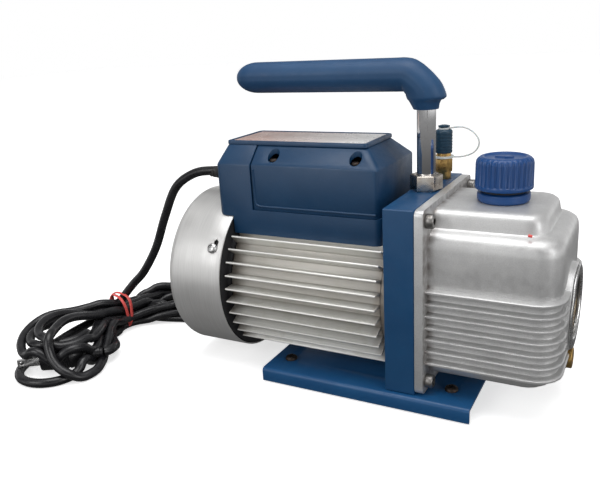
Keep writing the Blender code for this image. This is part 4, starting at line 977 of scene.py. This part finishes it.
def socket_screw(name, seat, radius, height, replaces):
    """Cap screw along +X with a knurled head and a hexagon socket."""
    knurled = [(x * (1.0 - 0.035 * (k % 2)), y * (1.0 - 0.035 * (k % 2)))
               for k, (x, y) in enumerate(circle(radius, 56))]
    rows = [(-12.0, circle(radius * 0.5, 56)), (0.0, circle(radius * 0.5, 56)),
            (0.0, circle(radius * 0.94, 56)), (0.4, knurled), (height - 0.7, knurled),
            (height - 0.4, circle(radius * 0.94, 56)), (height, circle(radius * 0.84, 56))]
    head = placed(name, rows, seat, (1, 0, 0), (0, 1, 0))
    hexagon = circle(radius * 0.52, 6)
    cut(head, placed("socket", [(height * 0.4, hexagon), (height + 1, hexagon)], seat,
                     (1, 0, 0), (0, 1, 0)))
    dress(head, "dull_zinc", replaces=replaces)


def make_fan_cover():
    """Pressed sheet cover with two circles of vents, a keyhole and its three screws."""
    low, high = span("fan_cover")
    x0, x1, r, wall, corner = low.x, high.x, high.y, 1.0, 6.5
    outer = [(x0, 2.0), (x0, 10.5), (x0 + 0.5, 11.5), (x0 + 0.5, 28.8), (x0, 29.6), (x0, 30.4),
             (x0 + 0.5, 31.2), (x0 + 0.5, 50.0), (x0, 51.0)]
    outer += arc(x0 + corner, r - corner, corner, 180.0, -90.0, 8)
    outer += [(x0 + 16.0, r), (x0 + 30.0, r), (x1 - 0.5, r), (x1, r - 0.3)]
    inner = [(x1, r - wall)] + arc(x0 + corner, r - corner, corner - wall, 90.0, 90.0, 5)
    inner += [(x0 + wall, 40.0), (x0 + wall, 2.0)]
    cover = turned_hoop("fan_cover_sheet", "x", SHAFT, outer + inner, 128)
    vents = []
    for inner_r, outer_r, count, phase in ((13.0, 27.0, 8, 0.0), (32.0, 49.0, 16, 0.5)):
        for k in range(count):
            t = 2 * math.pi * (k + phase) / count
            outline = [(inner_r - 1.2, 0.0), (inner_r, -1.8), (outer_r, -2.4), (outer_r + 1.5, 0.0),
                       (outer_r, 2.4), (inner_r, 1.8)]
            vents.append(placed("vent", [(-3.0, outline), (3.0, outline)],
                                SHAFT + Vector((x0, 0, 0)), (-1, 0, 0),
                                (0, math.cos(t), math.sin(t))))
    cut(cover, merged(vents))
    along = UNIT["x"]
    for name in ("cover_screw_front", "cover_screw_back", "cover_screw_low"):
        middle = sum(span(name), Vector()) / 2
        out = Vector((0, middle.y, middle.z - AXIS_Z)).normalized()
        seat = SHAFT - along * 100.0 + out * (r + 0.3)
        if name == "cover_screw_front":
            keyhole = [(-1.7, 1.0), (1.7, 1.0), (2.0, 5.4), (0.0, 7.2), (-2.0, 5.4)]
            cut(cover, placed("keyhole", [(-3.0, keyhole), (3.0, keyhole)],
                              seat + along * 1.8, out, along))
        pan_screw(name + "_head", seat, out, 3.8, "zinc", [name])
    dress(cover, "sheet", replaces=["fan_cover"])


def make_casing_screws():
    """The four cap screws that hold the oil casing's flange."""
    flange = 56.0
    for place in ("top_front", "top_back", "low_front", "low_back"):
        name = "casing_screw_" + place
        low, high = span(name)
        seat = Vector((flange, (low.y + high.y) / 2, (low.z + high.z) / 2))
        socket_screw(name + "_head", seat, (high.y - low.y) / 2, high.x - flange, [name])


# ---- handle ----

def make_handle():
    """Chrome rod bent over at the top, and the soft grip moulded round it."""
    tip = span("handle_grip")[0].x
    rod_x, tall, bend = 40.2, 209.6, 12.0
    path = [(rod_x, 0, z) for z in (121.0, 150.0, 180.0)]
    path += [(x, 0, z) for x, z in arc(rod_x - bend, tall - bend, bend, 0.0, 90.0, 8)]
    path += [(0.0, 0, tall), (-78.0, 0, tall)]
    rod = tube("chrome_rod", path, 6.2, 12)
    dress_curve(rod, "chrome", ["handle_rod"])

    # each row: x, z, the direction of its height in x and z, half its height, half its width
    radius = 10.7
    rows = []
    for k in range(1, 13):
        t = (k / 12) ** 1.6
        r = radius * math.sqrt(max(1 - (1 - t) ** 2, 0.0))
        rows.append((tip + 17.0 * t, tall, 0.0, 1.0, r, r))
    for x in (-70.0, -45.0, -20.0, 5.0, 16.0, 22.0):
        rows.append((x, tall, 0.0, 1.0, radius, radius))
    for degrees, inner, outer, across in ((0, 1.3, 22.7, 10.7), (15, 0.9, 22.5, 10.8),
                                          (30, 0.6, 21.9, 10.9), (45, 0.5, 21.8, 11.0),
                                          (60, 0.5, 22.7, 11.0), (75, 0.5, 24.6, 11.0),
                                          (90, 0.7, 26.7, 10.9)):
        t = math.radians(degrees)
        ux, uz, mid = math.sin(t), math.cos(t), (inner + outer) / 2
        rows.append((26.0 + ux * mid, 197.6 + uz * mid, ux, uz, (outer - inner) / 2, across))
    for z, x0, x1, across in ((195.2, 27.4, 52.9, 10.7), (194.0, 28.1, 51.4, 10.2),
                              (193.4, 28.9, 49.6, 9.7), (191.0, 30.3, 48.5, 9.2),
                              (189.4, 31.2, 48.3, 8.6), (188.0, 31.9, 48.1, 8.1)):
        rows.append(((x0 + x1) / 2, z, 1.0, 0.0, (x1 - x0) / 2, across))
    smooth = []
    for i in range(len(rows) - 1):
        near = (rows[max(i - 1, 0)], rows[i], rows[i + 1], rows[min(i + 2, len(rows) - 1)])
        steps = 4 if 11 <= i <= 24 else 1
        for k in range(steps):
            f = k / steps
            smooth.append([0.5 * (2 * b + (c - a) * f + (2 * a - 5 * b + 4 * c - d) * f ** 2
                                  + (3 * b - a - 3 * c + d) * f ** 3) for a, b, c, d in zip(*near)])
    smooth.append(rows[-1])
    rings = []
    for x, z, ux, uz, half, across in smooth:
        ring = []
        for k in range(64):
            t = 2 * math.pi * k / 64
            # a soft seam runs along the grip at mid height
            seam = 1.0 - 0.018 * math.exp(-(math.cos(t) * half / 1.1) ** 2)
            ring.append((x + ux * half * math.cos(t), across * math.sin(t) * seam,
                         z + uz * half * math.cos(t)))
        rings.append(ring)
    grip = loft("grip_moulding", rings)
    cut(grip, hole("z", (rod_x, 0, 0), 6.35, 170.0, 196.0))
    dress(grip, "grip", replaces=["handle_grip"], sharp=50.0)


# ---- oil cap, sight glass, intake ----

def make_oil_cap():
    """Fluted screw cap with a dished top and a raised arrow."""
    low, high = span("oil_fill_cap")
    middle, radius = (low.x + high.x) / 2, (high.x - low.x) / 2
    bottom, top, flutes = 139.1, high.z, 30
    # each row: height, radius, depth of the flutes
    rows = [(127.0, 7.6, 0.0), (bottom, 7.8, 0.0), (bottom, radius - 1.1, 0.0),
            (bottom + 0.5, radius - 0.2, 0.0), (bottom + 2.2, radius, 0.0),
            (bottom + 2.6, radius - 0.15, 0.0), (bottom + 3.2, radius - 0.15, 1.0),
            (top - 4.2, radius - 0.3, 1.0), (top - 2.4, radius - 0.7, 0.8),
            (top - 1.2, radius - 1.7, 0.35), (top - 0.4, radius - 2.8, 0.0),
            (top, radius - 4.1, 0.0), (top - 0.1, radius - 5.0, 0.0),
            (top - 0.9, radius - 5.6, 0.0), (top - 1.0, radius - 6.4, 0.0), (top - 1.0, 0.5, 0.0)]
    count = flutes * 8
    rings = []
    for z, r, depth in rows:
        ring = []
        for k in range(count):
            t = 2 * math.pi * k / count
            dip = 0.5 + 0.5 * math.cos(flutes * t)
            wave = max(0.0, min(1.0, (dip - 0.25) / 0.5))
            at = r - 1.0 * depth * wave * wave * (3 - 2 * wave)
            ring.append((middle + at * math.cos(t), at * math.sin(t), z))
        rings.append(ring)
    cap = loft("oil_cap_moulding", rings)
    dress(cap, "cap", "oil_cap", ["oil_fill_cap"], 50.0)
    arrow = [(-6.0, -1.2), (0.5, -1.2), (0.5, -3.4), (5.6, 0.0), (0.5, 3.4), (0.5, 1.2), (-6.0, 1.2)]
    mark = loft("oil_cap_arrow", [[(middle + x, y, z) for x, y in arrow]
                                  for z in (top - 1.3, top - 0.25)])
    soften(mark, 0.25, 2)
    dress(mark, "cap", "oil_cap")


def make_sight_glass():
    """Domed window with the oil behind it, and the seal round its edge."""
    low, high = span("sight_glass")
    centre = Vector((0.0, 0.0, (low.z + high.z) / 2))
    radius, front = (high.y - low.y) / 2, high.x
    rows = [(low.x, radius - 0.3), (front - 1.2, radius), (front - 0.7, radius - 0.2)]
    for k in range(1, 9):
        t = k / 9
        rows.append((front - 0.7 * (1 - t) ** 2, (radius - 0.6) * math.cos(t * math.pi / 2)))
    glass = turned("sight_glass_disc", "x", centre, rows, 96)
    dress(glass, "oil", replaces=["sight_glass"], sharp=40.0)
    bead = turned_hoop("sight_glass_bead", "x", centre,
                       [(front - 0.9, radius - 1.4), (front - 0.1, radius - 0.8),
                        (front - 0.1, radius - 0.2), (front - 0.9, radius + 0.1)], 96)
    dress(bead, "rubber")


def make_intake():
    """Ribbed cap of the intake, with the button that holds the strap."""
    low, high = span("intake_cap")
    spot = Vector(((low.x + high.x) / 2, (low.y + high.y) / 2, 0.0))
    bottom, top, radius = low.z, high.z, 5.9
    rows = [(bottom, radius - 0.8), (bottom + 0.3, radius - 0.1)]
    for k in range(7):
        z = bottom + 0.8 + k * 2.1
        rows += [(z, radius), (z + 1.2, radius), (z + 1.45, radius - 0.35), (z + 1.85, radius - 0.35)]
    rows = [row for row in rows if row[0] < 168.0]
    rows += [(168.4, radius), (169.0, radius - 0.4), (169.5, radius - 1.2), (169.6, 2.7),
             (171.1, 2.7), (171.3, 3.9), (172.1, 4.1), (top - 0.5, 3.7), (top, 2.4)]
    cap = turned("intake_cap_moulding", "z", spot, rows, 72)
    cut(cap, hole("z", spot, 4.35, bottom - 1.0, 164.9))
    dress(cap, "dark_cap", "intake_cap", ["intake_cap"])


def make_label():
    """Plate on the lid with a raised rim, and the blank sticker inside the rim."""
    low, high = span("label_plate")
    corner = 3.0

    def plate(grow, radius):
        left, right = low.x - grow + radius, high.x + grow - radius
        near, far = low.y - grow + radius, high.y + grow - radius
        return (arc(right, far, radius, 0.0, 90.0, 8) + arc(left, far, radius, 90.0, 90.0, 8)
                + arc(left, near, radius, 180.0, 90.0, 8) + arc(right, near, radius, 270.0, 90.0, 8))

    rows = [(low.z, plate(0.0, corner)), (high.z - 0.8, plate(0.0, corner)),
            (high.z - 0.2, plate(-0.3, corner - 0.2)), (high.z, plate(-0.9, corner - 0.6)),
            (high.z, plate(-2.2, corner - 1.2)), (high.z - 0.6, plate(-2.8, corner - 1.6))]
    rim = loft("label_frame", [[(x, y, z) for x, y in outline] for z, outline in rows])
    dress(rim, "box", replaces=["label_plate"], sharp=40.0)
    z = high.z - 0.6
    sticker = loft("label_sticker", [[(x, y, z + up) for x, y in plate(grow, 1.2)]
                                     for up, grow in ((0.0, -3.6), (0.22, -3.6), (0.25, -3.8))])
    dress(sticker, "label")


def make_lid_screws():
    """Dark cross screws at the bottom of the lid's four wells."""
    for x in (-58.7, 2.5):
        for y in (-29.0, 29.0):
            name = "lid_screw_left" if x < 0 else "lid_screw_right"
            side = "front" if y < 0 else "back"
            replaces = [name] if y < 0 else []
            pan_screw(f"{name}_{side}", (x, y, 155.6), UNIT["z"], 3.0, "dark_steel", replaces)


def make_foot_screws():
    """Dark screw heads over the feet and the two screws that hold the body from below."""
    top = span("base_plate")[1].z
    for i, (x, y) in enumerate(((-49.5, -38.5), (-49.5, 38.5), (70.0, -38.5), (70.0, 38.5))):
        pan_screw(f"foot_screw_{i}", (x, y, top - 0.1), UNIT["z"], 4.4, "dark_steel")
    for i, y in enumerate((-40.0, 40.0)):
        pan_screw(f"body_screw_{i}", (40.0, y, 9.1), -UNIT["z"], 4.2, "zinc")


def make_gland():
    """Tapered strain relief with slotted ribs, where the cord leaves the box."""
    inner_end = span("cord_gland")[1].x
    rows = [(inner_end, 4.9), (-104.2, 4.9), (-104.2, 6.6), (-105.6, 6.6), (-106.2, 6.2)]
    for k in range(5):
        x = -107.0 - k * 3.6
        r = 5.9 - k * 0.38
        rows += [(x, r), (x - 1.9, r - 0.15), (x - 2.1, r - 0.75), (x - 3.4, r - 0.8)]
    rows.append((-125.6, 3.95))
    inner = [(-125.6, 3.62), (inner_end, 3.62)]
    gland = turned_hoop("strain_relief", "x", Vector((0.0, -10.0, 141.6)), rows + inner, 48)
    return dress(gland, "rubber", replaces=["cord_gland"])


def make_lid_bead():
    """Raised bead along the lower and left edges of the box's front and back panels."""
    for name, side in (("lid_bead_front", -1.0), ("lid_bead_back", 1.0)):
        y = side * 35.0
        marks = [(-72.6, y, 150.5), (-72.6, y, 128.5)]
        marks += curved((-72.6, y, 128.5), (-72.6, y, 124.6), (-68.0, y, 124.4), 5)[1:]
        marks += [(x, y, 124.4) for x in (-40.0, -10.0, 18.0)]
        dress_curve(tube(name, marks, 0.8, 4), "box")


def make_paint_drop():
    """The small red drop of paint on the shoulder of the casing."""
    drop = tube("paint_drop", [(113.6, -40.3, 121.4), (115.8, -40.3, 120.9)], 0.9, 4)
    dress_curve(drop, "band")


def main():
    for make in (make_looks, make_camera, make_studio, dress_model, make_cord, soften_model,
                 make_fan_cover, make_casing_screws, make_handle, make_oil_cap, make_sight_glass,
                 make_intake, make_label, make_lid_screws, make_foot_screws, make_lid_bead,
                 make_paint_drop):
        make()


main()
